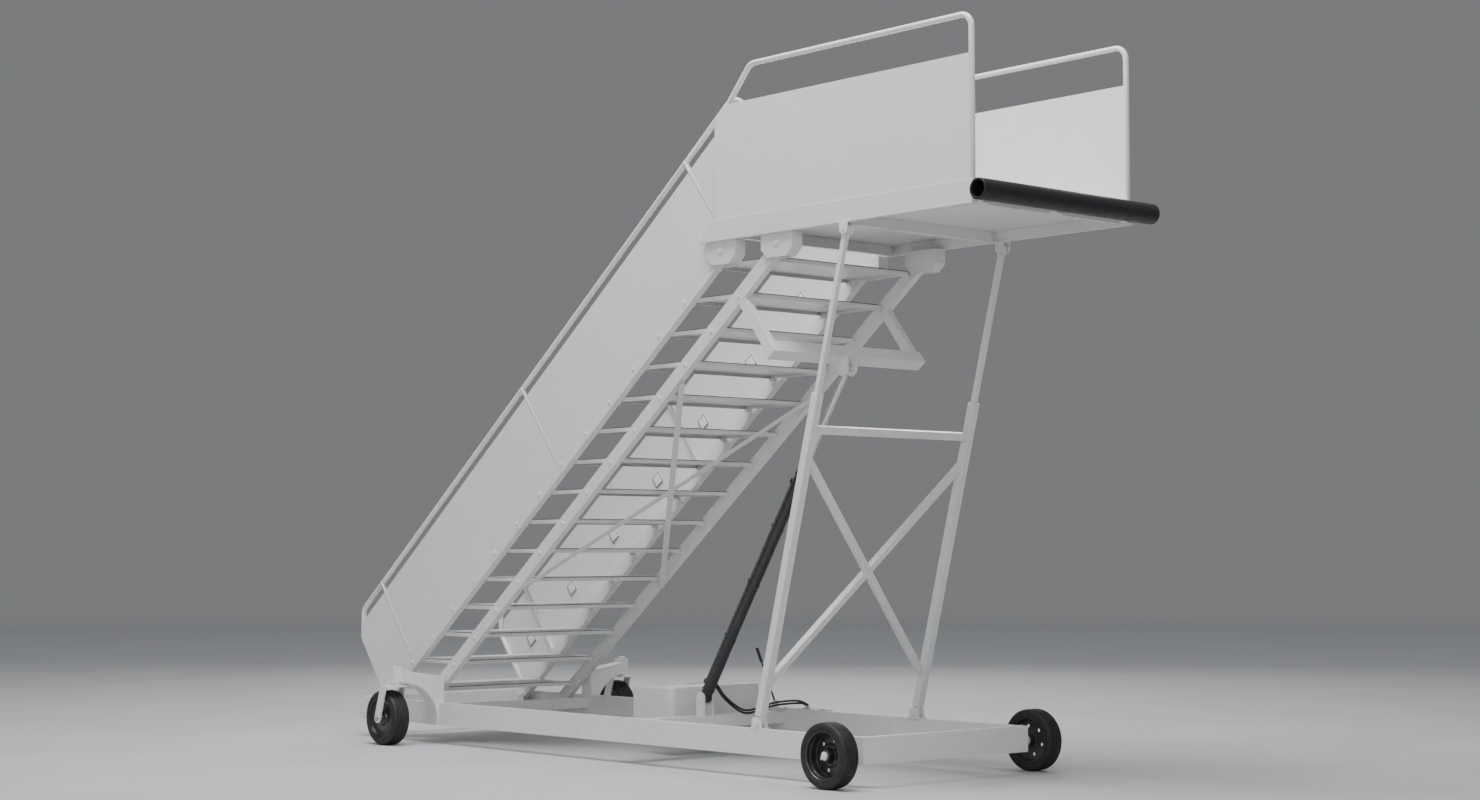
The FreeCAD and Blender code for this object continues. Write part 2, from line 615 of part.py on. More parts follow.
def hydraulic_hoses():
    """Two hoses that sag from the cylinder's foot over the cross beam to the hand pump."""
    start_x, start_z = size("ram_foot_x + 62"), size("ram_foot_z + 28")
    end_x, end_z = size("pump_front - 200"), size("rail_high + pump_plate + 3")
    floor = size("cross_high + 22")
    hoses = []
    for shift in (0, 26):
        way = [Vector(start_x + shift * 0.2, 68, start_z + shift), Vector(start_x + 6, 130, start_z - 40 + shift),
               Vector(start_x + 4, 290, floor + shift * 0.7), Vector(start_x + 10, 420, floor + shift * 0.7),
               Vector(start_x + 40, 560, end_z + 24 + shift * 0.7), Vector(end_x - 90 + shift, 700, end_z + 34 + shift * 0.7),
               Vector(end_x - 20 + shift, 726, end_z + 32), Vector(end_x + shift, 730, end_z + 0.5)]
        curve = Part.BSplineCurve()
        curve.interpolate(way)
        path = Part.Wire([curve.toShape()])
        tangent = curve.tangent(curve.FirstParameter)[0]
        ring = Part.Wire([Part.makeCircle(size("hose_radius"), way[0], tangent)])
        hoses.append(path.makePipeShell([ring], True, True))
    item = doc.addObject("Part::Feature", "Hoses")
    item.Shape = Part.makeCompound(hoses)
    node("hydraulic_hoses", item)


def wheel_axles():
    """Stub axles of the fixed wheels, stepped at the rail and closed by an end cap."""
    spot = ("wheel_axle_x", "wheel_radius")
    axle = fuse([rod("y", spot, ("rail_outer - tube_wall", "wheel_outer - 22"), "axle_radius"),
                 rod("y", spot, ("rail_outer", "wheel_inner - 8"), "38"),
                 rod("y", spot, ("wheel_outer - 25.5", "wheel_outer - 14"), "26")])
    node("wheel_axles", both_sides(axle))


# ---------------------------------------------------------------- flight

def tread_places():
    """Formulas for the tread pins' places along the slope."""
    return [f"first_tread + {i} * tread_pitch" for i in range(int(size("tread_count")))]


def stringer(end, bores):
    """One box-section stringer with closed ends and round bores through both walls."""
    tube = box_tube("yz", ("stringer_inner", "stringer_outer"), ("-stringer_depth / 2", "stringer_depth / 2"),
                    ("-stringer_depth / 2", end))
    caps = [box(span, ("stringer_inner + 2", "stringer_outer - 2"), ("-stringer_depth / 2 + 2", "stringer_depth / 2 - 2"))
            for span in (("-stringer_depth / 2", "-stringer_depth / 2 + tube_wall"), (f"{end} - tube_wall", end))]
    tools = [rod("y", (along, "0"), ("stringer_inner - 1", "stringer_outer + 1"), radius)
             for along, radius in bores]
    return cut(fuse([tube] + caps), tools)


def tread_bolts(outer):
    """Headed tread pivot bolts with a spacer between stringer and tread and a nut inside the tread."""
    bolts = []
    for along in tread_places():
        spans = (("tread_half - tray_cheek", outer, "bolt_radius"),
                 (outer, f"{outer} + head_height", "head_radius"),
                 ("tread_half + 1", "stringer_inner", "bolt_radius + 6"),
                 ("tread_half - tray_cheek - 10", "tread_half - tray_cheek - 1", "head_radius"),
                 ("tread_half - tray_cheek - 1", "tread_half - tray_cheek", "bolt_radius"))
        bolts.append(fuse([rod("y", (along, "0"), (low, high), radius) for low, high, radius in spans]))
    return both_sides(group(bolts))


def stringer_bores():
    """Foot pin and platform pin run with play; the tread bolts are clamped."""
    running = "pin_radius + bolt_play"
    return ([("0", running), ("stringer_length", running)]
            + [(along, "bolt_radius") for along in tread_places()])


def lower_flight():
    """Lower stringers with their bolts, cross braces and the cross tube that the cylinder lifts."""
    node("lower_stringers", both_sides(stringer("stringer_length + lower_overrun", stringer_bores())), LOWER_FRAME)
    node("lower_tread_bolts", tread_bolts("stringer_outer"), LOWER_FRAME)
    braces = []
    for layer, hand in ((0, 1), (1, -1)):
        braces.append(diagonal("xy", ("brace_low", f"{-hand} * stringer_inner"),
                               ("brace_high", f"{hand} * stringer_inner"), "45",
                               f"-stringer_depth / 2 - {8 * (layer + 1)}", f"-stringer_depth / 2 - {8 * layer}"))
    node("stringer_braces", group(braces), LOWER_FRAME)


def cylinder_crossbeam():
    """A square tube under the lower stringers on four posts, with two ears for the rod end."""
    middle = "ram_beam_along"
    tube = closed_beam((f"{middle} - 45", f"{middle} + 45"), ("ram_beam_drop - 45", "ram_beam_drop + 45"),
                       "stringer_outer + 14")
    posts = [box((f"{middle} - 35", f"{middle} + 35"), span, ("ram_beam_drop + 45", "-stringer_depth / 2"))
             for span in (("stringer_inner", "stringer_outer"), ("-stringer_outer", "-stringer_inner"))]
    ear_outline = [("ram_pin_along - 40", "ram_pin_drop - 40", "38"), ("ram_pin_along + 40", "ram_pin_drop - 40", "38"),
                   (f"{middle} + 45", "ram_beam_drop - 45"), (f"{middle} - 45", "ram_beam_drop - 45"),
                   (f"{middle} - 45", "ram_beam_drop + 20"), ("ram_pin_along - 40", "ram_pin_drop + 40")]
    ears = [plate("xz", ear_outline, low, high) for low, high in (("34", "46"), ("-46", "-34"))]
    node("cylinder_crossbeam", fuse([tube] + posts + ears), LOWER_FRAME)


def upper_flight():
    """Upper stringers with their bolts."""
    node("upper_stringers", both_sides(stringer("stringer_length + upper_overrun", stringer_bores())), UPPER_FRAME)
    node("upper_tread_bolts", tread_bolts("stringer_outer + sheet"), UPPER_FRAME)


POSTS = ("post_one", "post_two", "post_three")


def stair_side_panels():
    """The sheets outside the upper stringers, slotted where the posts stand through them."""
    low, top, shoulder = "-stringer_depth / 2", "panel_height", "stringer_depth / 2"
    corners = [("front_edge", low), ("stringer_length + upper_overrun", low),
               ("stringer_length + upper_overrun", shoulder)]
    for post in reversed(POSTS):
        if post != "post_three":
            corners += [(f"{post} + post_slot", top), (f"{post} + post_slot", shoulder)]
        corners += [(f"{post} - post_slot", shoulder), (f"{post} - post_slot", top)]
    corners += [("front_edge + (panel_height - knee_height) * tan(slope)", top), ("front_edge", "knee_height")]
    bores = [(along, "0", "bolt_radius") for along in tread_places()]
    bores += [("stringer_length", "0", "pin_radius + bolt_play")]
    span = ("stringer_outer", "stringer_outer + sheet")
    main = plate("xz", corners, *span, bores)
    end = plate("xz", rectangle("post_three + post_slot", "handrail_end", "end_panel_low", top), *span)
    node("stair_side_panels", both_sides(group([main, end])), UPPER_FRAME)


def stair_handrails():
    """One bent tube per side from the stringer's foot to the platform, and three posts."""
    rise = "handrail_height - knee_height"
    path = [("front_edge", "stringer_depth / 2"), ("front_edge", "knee_height", "90"),
            (f"front_edge + ({rise}) * tan(slope)", "handrail_height", "90"),
            ("handrail_end", "handrail_height", "110"), ("handrail_end", "end_panel_low", "60"),
            ("post_three", "end_panel_low")]
    rail = bent_bar(path, "rail_plane", "rail_radius")
    posts = [rod("z", (post, "post_plane"), ("stringer_depth / 2", "handrail_height"), "post_radius")
             for post in POSTS]
    node("stair_handrails", both_sides(fuse([rail] + posts)), UPPER_FRAME)


def step_lamps():
    """Square lamps set on the inner faces of the side panels, one over every second tread."""
    reach, inner = half("lamp_side"), ("stringer_outer - lamp_depth", "stringer_outer")
    lamps = []
    for i in range(int(size("lamp_count"))):
        middle = f"lamp_first + {2 * i} * tread_pitch"
        corners = rectangle(f"{middle} - {reach}", f"{middle} + {reach}",
                            f"lamp_height - {reach}", f"lamp_height + {reach}", "6")
        lamps.append(plate("xz", corners, *inner))
    node("step_lamps", both_sides(group(lamps)), UPPER_FRAME)


def treads():
    """Identical level treads: a folded tray with a lug at each of its four pins, and a rubber mat on top."""
    for number, along in enumerate(tread_places(), start=1):
        pin = (f"foot_pin_x + ({along}) * cos(slope)", "0", f"foot_pin_z + ({along}) * sin(slope)")
        x = ("-pin_gap - tread_nose", "tread_rear")
        tray = box(x, ("-tread_half", "tread_half"), ("lug_low", "tray_top"))
        between = ("-tread_half + tray_cheek", "tread_half - tray_cheek")
        hollow = box((f"{x[0]} + tray_sheet", f"{x[1]} - tray_sheet"), between, ("lug_low - 1", "tray_top - tray_sheet"))
        below = [box((f"{x[0]} - 1", f"{x[1]} + 1"), between, ("lug_low - 1", "flange_low")),
                 box(("-pin_gap + lug_half", "-lug_half"), ("-tread_half - 1", "tread_half + 1"),
                     ("lug_low - 1", "flange_low"))]
        bores = [rod("y", (across, "0"), ("-tread_half - 1", "tread_half + 1"), "bolt_radius + bolt_play")
                 for across in ("0", "-pin_gap")]
        mat = box(x, ("-tread_half", "tread_half"), ("tray_top", "tray_top + mat_thick"))
        node(f"tread_{number:02d}", group([cut(tray, [hollow] + below + bores), mat]), (pin, None))


# ---------------------------------------------------------------- platform

def platform_frame():
    """Side beams with slanted rear ends, cross beams under the deck and the bumper's tabs."""
    side = plate("xz", [("beam_rear", "beam_low"), ("beam_front", "beam_low"), ("beam_front", "beam_high"),
                        ("beam_rear_top", "beam_high")], "beam_inner", "beam_outer")
    pieces = [side, mirrored(side)]
    across = ("-beam_inner", "beam_inner")
    for start in ("deck_rear", "beam_front / 2 - 40"):
        pieces.append(box_tube("xz", (start, f"{start} + 50"), ("beam_low", "deck_top - deck_sheet"), across))
    pieces.append(box(("beam_front - 36", "beam_front"), across, ("beam_low", "beam_high")))
    for low in ("-beam_inner", "-40", "beam_inner - 80"):
        pieces.append(box(("beam_front", "bumper_x - bumper_radius + 14"), (low, f"{low} + 80"),
                          ("beam_low", "beam_low + 10")))
        pieces.append(box(("bumper_x - bumper_radius + 4", "bumper_x - bumper_radius + 14"), (low, f"{low} + 80"),
                          ("beam_low + 10", "bumper_z - 50")))
    node("platform_frame", fuse(pieces), PLATFORM_FRAME)


def platform_deck():
    """The walking surface between the beams."""
    deck = box(("deck_rear", "beam_front - 36"), ("-beam_inner", "beam_inner"), ("deck_top - deck_sheet", "deck_top"))
    node("platform_deck", group([deck]), PLATFORM_FRAME)


PLATFORM_PINS = ("0", "pin_gap")


def linkage_brackets():
    """Chamfered channels under the side beams: a plate on each side of the stringer, joined round the front."""
    inner, outer = "bracket_face", "bracket_face + bracket_plate"
    near = "stringer_inner - bracket_gap"
    brackets = []
    for pin in PLATFORM_PINS:
        front, rear = f"{pin} + bracket_half", f"{pin} - bracket_half"
        corners = [(rear, "beam_low"), (rear, "-35"), (f"{rear} + 60", "bracket_low"), (f"{front} - 60", "bracket_low"),
                   (front, "-35"), (front, "beam_low")]
        faces = [plate("xz", corners, low, high, [(pin, "0", "pin_radius")])
                 for low, high in ((inner, outer), (f"{near} - bracket_plate", near))]
        strip = [(f"{front} - 9", "beam_low"), (f"{front} - 9", "-31"), (f"{front} - 60", "bracket_low + 10"),
                 (f"{front} - 60", "bracket_low"), (front, "-35"), (front, "beam_low")]
        flange = plate("xz", strip, near, inner)
        brackets.append(fuse(faces + [flange]))
    node("linkage_brackets", both_sides(group(brackets)), PLATFORM_FRAME)


def platform_pins():
    """Headed pins through both plates of each bracket and the stringer between them."""
    inner, outer = "stringer_inner - bracket_gap - bracket_plate", "bracket_face + bracket_plate"
    pins = []
    for pin in PLATFORM_PINS:
        pins.append(fuse([rod("y", (pin, "0"), (inner, outer), "pin_radius"),
                          rod("y", (pin, "0"), (outer, f"{outer} + 10"), "pin_head_radius"),
                          rod("y", (pin, "0"), (f"{inner} - 5", inner), "pin_head_radius")]))
    node("platform_pins", both_sides(group(pins)), PLATFORM_FRAME)


def leg_top_brackets():
    """Ears under the side beams on both sides of each leg's upper eye, open in the middle."""
    base = box(("leg_top_x - 44", "leg_top_x + 44"), ("leg_plane - 33", "leg_plane + 33"), ("beam_low - 6", "beam_low"))
    outline = [("leg_top_x - 36", "leg_top_z - 36", "34"), ("leg_top_x + 36", "leg_top_z - 36", "34"),
               ("leg_top_x + 38", "beam_low - 6"), ("leg_top_x - 38", "beam_low - 6")]
    pieces = [base]
    for inner, outer, cap in (("leg_plane - 33", "leg_plane - 25", ("leg_plane - 37", "leg_plane - 33")),
                              ("leg_plane + 25", "leg_plane + 33", ("leg_plane + 33", "leg_plane + 37"))):
        pieces.append(plate("xz", outline, inner, outer))
        pieces.append(rod("y", ("leg_top_x", "leg_top_z"), cap, "15"))
    node("leg_top_brackets", both_sides(fuse(pieces)), PLATFORM_FRAME)


def guard_rails():
    """The bent guard tubes along both sides of the platform."""
    path = [("guard_rear", "beam_high"), ("guard_rear", "guard_knee", "120"), ("guard_bend", "guard_top", "90"),
            ("guard_front", "guard_top", "85"), ("guard_front", "beam_high")]
    node("guard_rails", both_sides(bent_bar(path, "guard_plane", "guard_radius")), PLATFORM_FRAME)


def guard_panels():
    """The sheets outside the guard tubes."""
    slant = "(guard_bend - guard_rear) / (guard_top - guard_knee)"
    corners = [("guard_rear", "beam_high"), ("guard_front", "beam_high"), ("guard_front", "guard_panel_top"),
               (f"guard_rear + (guard_panel_top - guard_knee) * {slant}", "guard_panel_top"),
               ("guard_rear", "guard_knee", "120")]
    span = ("guard_plane + guard_radius", "guard_plane + guard_radius + sheet")
    node("guard_panels", both_sides(plate("xz", corners, *span)), PLATFORM_FRAME)


def dock_bumper():
    """The rubber tube across the platform's front."""
    spot = ("bumper_x", "bumper_z")
    skin = rod("y", spot, ("-bumper_half", "bumper_half"), "bumper_radius")
    bore = rod("y", spot, ("-bumper_half - 1", "bumper_half + 1"), "bumper_bore")
    node("dock_bumper", cut(skin, [bore]), PLATFORM_FRAME)


# ---------------------------------------------------------------- legs and lift cylinder

def leg_outer_frame():
    """The outer leg tubes with their foot eyes, joined by a crossbar and crossed braces."""
    reach = half("leg_tube")
    tube = box_tube("xy", (f"-{reach}", reach), (f"leg_plane - {reach}", f"leg_plane + {reach}"),
                    ("ear_radius + 14", "leg_tube_top"))
    eye = fuse([rod("y", ("0", "0"), ("leg_plane - 19", "leg_plane + 19"), "26"),
                box(("-26", "26"), ("leg_plane - 19", "leg_plane + 19"), ("0", "ear_radius + 14")),
                box((f"-{reach}", reach), (f"leg_plane - {reach}", f"leg_plane + {reach}"),
                    ("ear_radius + 8", "ear_radius + 14"))])
    collar = box_tube("xy", (f"-{reach}", reach), (f"leg_plane - {reach}", f"leg_plane + {reach}"),
                      ("leg_tube_top - 12", "leg_tube_top"), "((leg_tube - leg_slider) / 2 - 0.5)")
    bore = rod("y", ("0", "0"), ("leg_plane - 20", "leg_plane + 20"), "pin_radius + bolt_play")
    leg = cut(fuse([tube, eye, collar]), [bore])
    inner = f"leg_plane - {reach}"
    crossbar = box(("-25", "25"), (f"-({inner})", inner), ("leg_crossbar - 25", "leg_crossbar + 25"))
    braces = []
    for hand in (-1, 1):
        bar = diagonal("yz", (f"{-hand} * ({inner})", "leg_brace_low"), (f"{hand} * ({inner})", "leg_brace_high"),
                       "44", "-22", "22")
        braces.append(bar)
    beyond = [box(("-30", "30"), (low, f"{low} + 100"), ("0", "leg_tube_top")) for low in (inner, f"-({inner}) - 100")]
    node("leg_outer_frame", fuse([leg, mirrored(leg), crossbar, cut(fuse(braces), beyond)]), LEG_FRAME)


def leg_inner_tubes():
    """The sliding leg tubes, their guide blocks inside the outer tubes and their upper eyes."""
    reach, guide = half("leg_slider"), "(leg_tube / 2 - tube_wall - 0.5)"
    tube = box_tube("xy", (f"-{reach}", reach), (f"leg_plane - {reach}", f"leg_plane + {reach}"),
                    ("slider_end", f"{LEG_LENGTH} - 44"))
    block = box((f"-{guide}", guide), (f"leg_plane - {guide}", f"leg_plane + {guide}"),
                ("slider_end - 40", "slider_end"))
    eye = fuse([rod("y", ("0", LEG_LENGTH), ("leg_plane - 19", "leg_plane + 19"), "24"),
                box(("-20", "20"), ("leg_plane - 19", "leg_plane + 19"), (f"{LEG_LENGTH} - 50", LEG_LENGTH)),
                box(("-22", "22"), ("leg_plane - 21", "leg_plane + 21"), (f"{LEG_LENGTH} - 50", f"{LEG_LENGTH} - 44"))])
    node("leg_inner_tubes", both_sides(fuse([tube, block, eye])), LEG_FRAME)


def lift_cylinder():
    """The barrel with its foot eye and ports, the gland, the outside pipe and the rod with its piston."""
    wall = turned([("bore_radius", "70"), ("barrel_radius", "70"), ("barrel_radius", "barrel_end"),
                   ("bore_radius", "barrel_end")])
    foot = fuse([rod("z", ("0", "0"), ("52", "70"), "barrel_radius"),
                 rod("y", ("0", "0"), ("-30", "30"), "40"),
                 box(("-26", "26"), ("-30", "30"), ("20", "60"))])
    bored = cut(fuse([wall, foot]), [rod("y", ("0", "0"), ("-31", "31"), "18 + bolt_play")])
    ports = [box(("-barrel_radius - 22", "-barrel_radius + 6"), ("-14", "14"), (low, f"{low} + 34"))
             for low in ("90", "barrel_end - 90")]
    node("cylinder_barrel", fuse([bored] + ports), RAM_FRAME)
    gland = turned([("rod_radius + bolt_play", "barrel_end - 40"), ("bore_radius", "barrel_end - 40"),
                    ("bore_radius", "barrel_end"), ("barrel_radius + 5", "barrel_end"),
                    ("barrel_radius + 5", "barrel_end + 42"), ("rod_radius + bolt_play", "barrel_end + 42")])
    node("cylinder_gland", gland, RAM_FRAME)
    pipe = rod("z", ("-barrel_radius - 13", "0"), ("124", "barrel_end - 90"), "6")
    node("cylinder_pipe", group([pipe]), RAM_FRAME)
    rod_bar = rod("z", ("0", "0"), ("piston_at", f"{RAM_LENGTH} - 30"), "rod_radius")
    piston = rod("z", ("0", "0"), ("piston_at - 40", "piston_at"), "bore_radius - bolt_play")
    eye = rod("y", ("0", RAM_LENGTH), ("-29", "29"), "34")
    node("cylinder_rod", fuse([rod_bar, piston, eye]), RAM_FRAME)


# ---------------------------------------------------------------- wheels

def tyre_profile(width, bead):
    """Outline of a solid tyre with grooves round its tread, as (radius, place) corners."""
    edge = half(width)
    corners = [(bead, f"-{edge} + 8"), ("wheel_radius - 24", f"-{edge}"), ("wheel_radius - 5", f"-{edge} + 12"),
               ("wheel_radius", f"-{edge} + 24")]
    for fraction in (-0.25, 0, 0.25):
        middle = f"{fraction} * ({width})"
        corners += [("wheel_radius", f"{middle} - 3"), ("wheel_radius - 6", f"{middle} - 2"),
                    ("wheel_radius - 6", f"{middle} + 2"), ("wheel_radius", f"{middle} + 3")]
    corners += [("wheel_radius", f"{edge} - 24"), ("wheel_radius - 5", f"{edge} - 12"),
                ("wheel_radius - 24", edge), (bead, f"{edge} - 8")]
    return corners


def on_axle(item, x, y):
    """Turn a piece drawn about Z onto a wheel's axle, with its outside facing away from the middle."""
    item.Placement = Placement(Vector(), Rotation(Vector(1, 0, 0), -90 if size(y) > 0 else 90))
    bind(item, "Placement.Base.x", x)
    bind(item, "Placement.Base.y", y)
    bind(item, "Placement.Base.z", "wheel_radius")


def fixed_wheels():
    """Ribbed tyres on deep steel rims, a drilled disc and a hub each."""
    width = "wheel_outer - wheel_inner"
    middle = half("wheel_outer + wheel_inner")
    edge = half(width)
    for side, hand in SIDES:
        tyre = turned(tyre_profile(width, "rim_radius"))
        on_axle(tyre, "wheel_axle_x", f"{hand} * ({middle})")
        node(f"fixed_tyre_{side}", tyre, framed=True)
        rim = turned([("rim_radius - 5", f"-{edge} + 8"), ("rim_radius", f"-{edge} + 8"), ("rim_radius", f"{edge} - 8"),
                      ("rim_radius - 5", f"{edge} - 8"), ("rim_radius - 8", "-18"), ("44", "-10"), ("44", f"{edge} - 26"),
                      ("axle_radius + bolt_play", f"{edge} - 26"), ("axle_radius + bolt_play", f"-{edge} + 8"),
                      ("40", f"-{edge} + 8"), ("44", "-26"), ("rim_radius - 8", "-26")])
        holes = []
        for i in range(6):
            turn = math.radians(60 * i + 15)
            holes.append(rod("z", (f"92 * {math.cos(turn)}", f"92 * {math.sin(turn)}"), ("-40", "10"), "11"))
        disc = cut(rim, holes)
        on_axle(disc, "wheel_axle_x", f"{hand} * ({middle})")
        node(f"fixed_rim_{side}", disc, framed=True)


def casters():
    """Swivelling forks with raked flat legs, and plain disc wheels."""
    edge = half("caster_width")
    axle_x = "swivel_x - caster_trail"
    rake = "(caster_trail - 20) / (fork_top - wheel_radius)"
    for side, hand in SIDES:
        centre = f"{hand} * swivel_y"
        reach = "fork_gap + fork_leg"
        corners = [("swivel_x - 85", f"{centre} - {reach} + 30"), ("swivel_x - 62", f"{centre} - ({reach})"),
                   ("swivel_x + 35", f"{centre} - ({reach})"), ("swivel_x + 65", f"{centre} - {reach} + 30"),
                   ("swivel_x + 65", f"{centre} + {reach} - 30"), ("swivel_x + 35", f"{centre} + {reach}"),
                   ("swivel_x - 62", f"{centre} + {reach}"), ("swivel_x - 85", f"{centre} + {reach} - 30")]
        top = plate("xy", corners, "fork_top - fork_plate", "fork_top")
        stem = rod("z", ("swivel_x", centre), ("fork_top", "housing_high + 2"), "stem_radius")
        collar = rod("z", ("swivel_x", centre), ("fork_top", "housing_low - 0.5"), "34")
        cap = rod("z", ("swivel_x", centre), ("housing_high + 0.5", "housing_high + 12"), "30")
        legs = []
        for way in (-1, 1):
            low = f"{centre} + {way} * fork_gap" if way > 0 else f"{centre} - fork_gap - fork_leg"
            foot, head = "wheel_radius", "fork_top - fork_plate / 2"
            corners = [(f"{axle_x} - fork_leg_width / 2", foot),
                       (f"{axle_x} - fork_leg_width / 2 + ({head} - ({foot})) * {rake}", head),
                       (f"{axle_x} + fork_leg_width / 2 + ({head} - ({foot})) * {rake}", head),
                       (f"{axle_x} + fork_leg_width / 2", foot)]
            blade = plate("xz", corners, low, f"{low} + fork_leg")
            toe = rod("y", (axle_x, "wheel_radius"), (low, f"{low} + fork_leg"), half("fork_leg_width"))
            legs += [blade, toe]
        bolt = rod("y", (axle_x, "wheel_radius"),
                   (f"{centre} - fork_gap - fork_leg - 7", f"{centre} + fork_gap + fork_leg + 7"), "12")
        node(f"caster_fork_{side}", fuse([top, stem, collar, cap, bolt] + legs))
        tyre = turned(tyre_profile("caster_width", "rim_radius + 6"))
        on_axle(tyre, axle_x, centre)
        node(f"caster_tyre_{side}", tyre, framed=True)
        disc = turned([("12 + bolt_play", f"-{edge} - 6"), ("28", f"-{edge} - 6"), ("34", f"-{edge} + 20"),
                       ("rim_radius - 10", f"-{edge} + 20"), ("rim_radius + 6", f"-{edge} + 8"),
                       ("rim_radius + 6", f"{edge} - 8"), ("rim_radius - 10", f"{edge} - 20"), ("34", f"{edge} - 20"),
                       ("28", f"{edge} + 6"), ("12 + bolt_play", f"{edge} + 6")])
        on_axle(disc, axle_x, centre)
        node(f"caster_rim_{side}", disc, framed=True)


# ---------------------------------------------------------------- build, check, write

def check_document():
    """Stop on any failed object and on any empty or invalid sub-part."""
    faults = [f"{item.Name} {item.Label}: {item.State}" for item in doc.Objects
              if "Invalid" in item.State or "Error" in item.State]
    for item in nodes:
        if item.Shape.isNull() or not item.Shape.Solids or not item.Shape.isValid():
            faults.append(f"{item.Label}: empty or invalid shape")
    if faults:
        raise RuntimeError("failed objects:\n" + "\n".join(faults))


def write_steps():
    """Write one STEP file per sub-part."""
    os.makedirs("parts", exist_ok=True)
    for item in nodes:
        item.Shape.exportStep(f"parts/{item.Label}.step")


sheet = make_sheet()
for build in (chassis_rails, chassis_cross_members, caster_outriggers, stringer_foot_brackets, leg_foot_brackets,
              base_pivot_pins, hydraulic_tank, hand_pump, pump_lever, hydraulic_hoses, wheel_axles,
              lower_flight, cylinder_crossbeam, upper_flight, stair_side_panels, stair_handrails, step_lamps,
              treads, platform_frame, platform_deck, linkage_brackets, platform_pins, leg_top_brackets,
              guard_rails, guard_panels, dock_bumper, leg_outer_frame, leg_inner_tubes, lift_cylinder,
              fixed_wheels, casters):
    build()
doc.recompute()
check_document()
write_steps()
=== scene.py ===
"""Looks of the aircraft boarding stairs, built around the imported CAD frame."""
import json
import math

import bmesh
import bpy
from mathutils import Matrix, Vector


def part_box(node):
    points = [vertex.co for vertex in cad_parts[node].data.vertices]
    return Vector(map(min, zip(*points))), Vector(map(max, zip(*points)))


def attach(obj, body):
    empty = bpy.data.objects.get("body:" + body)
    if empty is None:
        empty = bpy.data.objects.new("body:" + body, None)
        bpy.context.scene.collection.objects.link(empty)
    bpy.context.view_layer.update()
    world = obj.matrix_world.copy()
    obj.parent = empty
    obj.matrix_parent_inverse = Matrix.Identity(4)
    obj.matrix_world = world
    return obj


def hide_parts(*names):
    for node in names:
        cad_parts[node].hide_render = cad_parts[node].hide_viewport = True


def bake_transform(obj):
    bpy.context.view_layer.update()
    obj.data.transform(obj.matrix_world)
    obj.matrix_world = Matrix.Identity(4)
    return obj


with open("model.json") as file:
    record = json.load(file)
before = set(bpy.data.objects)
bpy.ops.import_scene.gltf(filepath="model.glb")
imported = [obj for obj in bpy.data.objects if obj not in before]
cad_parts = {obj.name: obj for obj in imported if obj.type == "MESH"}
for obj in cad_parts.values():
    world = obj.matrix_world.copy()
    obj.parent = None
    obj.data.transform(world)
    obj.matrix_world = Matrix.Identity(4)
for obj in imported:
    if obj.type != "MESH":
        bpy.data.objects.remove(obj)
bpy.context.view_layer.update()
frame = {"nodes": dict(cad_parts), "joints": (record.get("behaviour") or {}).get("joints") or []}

NODES = frame["nodes"]
JOINTS = {joint["name"]: joint for joint in frame["joints"]}
SIDES = (("right", -1), ("left", 1))


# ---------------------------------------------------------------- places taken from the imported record

def pivot(name):
    """A joint's position in the middle plane."""
    x, _, z = JOINTS[name]["pos_m"]
    return Vector((x, 0, z))


def tilted(origin, direction):
    """A frame in the middle plane: X along the direction, Z square to it."""
    return Matrix.Translation(origin) @ Matrix.Rotation(-math.atan2(direction.z, direction.x), 4, "Y")


def along_slide(joint, slide):
    """A frame at a joint's pivot with Z along a sliding joint's axis."""
    turn = Vector((0, 0, 1)).rotation_difference(Vector(JOINTS[slide]["axis"]))
    return Matrix.Translation(pivot(joint)) @ turn.to_matrix().to_4x4()


def at(x, y, z):
    """A move to a place."""
    return Matrix.Translation((x, y, z))


QUARTER_X = Matrix.Rotation(math.radians(-90), 4, "X")
QUARTER_Y = Matrix.Rotation(math.radians(-90), 4, "Y")
FOOT = pivot("lift")
HEAD = pivot("upper_flight_pivot")
GAP = FOOT.x - HEAD.x
FIRST, LAST = pivot("tread_01_pivot"), pivot("tread_15_pivot")
LOWER = tilted(FOOT, LAST - FIRST)
UPPER = tilted(HEAD, LAST - FIRST)
PLATFORM = Matrix.Translation(pivot("platform_pivot") - Vector((GAP, 0, 0)))
LEG = along_slide("leg_swing", "leg_telescope")
RAM = along_slide("cylinder_swing", "cylinder_stroke")
UPRIGHT = Matrix.Identity(4)
TREADS = [f"tread_{number:02d}" for number in range(1, 16)]
STRINGER_IN, STRINGER_OUT = 0.636, 0.686
LEG_IN, LEG_OUT = 0.692, 0.748
BEAM_LOW = 0.0645


# ---------------------------------------------------------------- materials

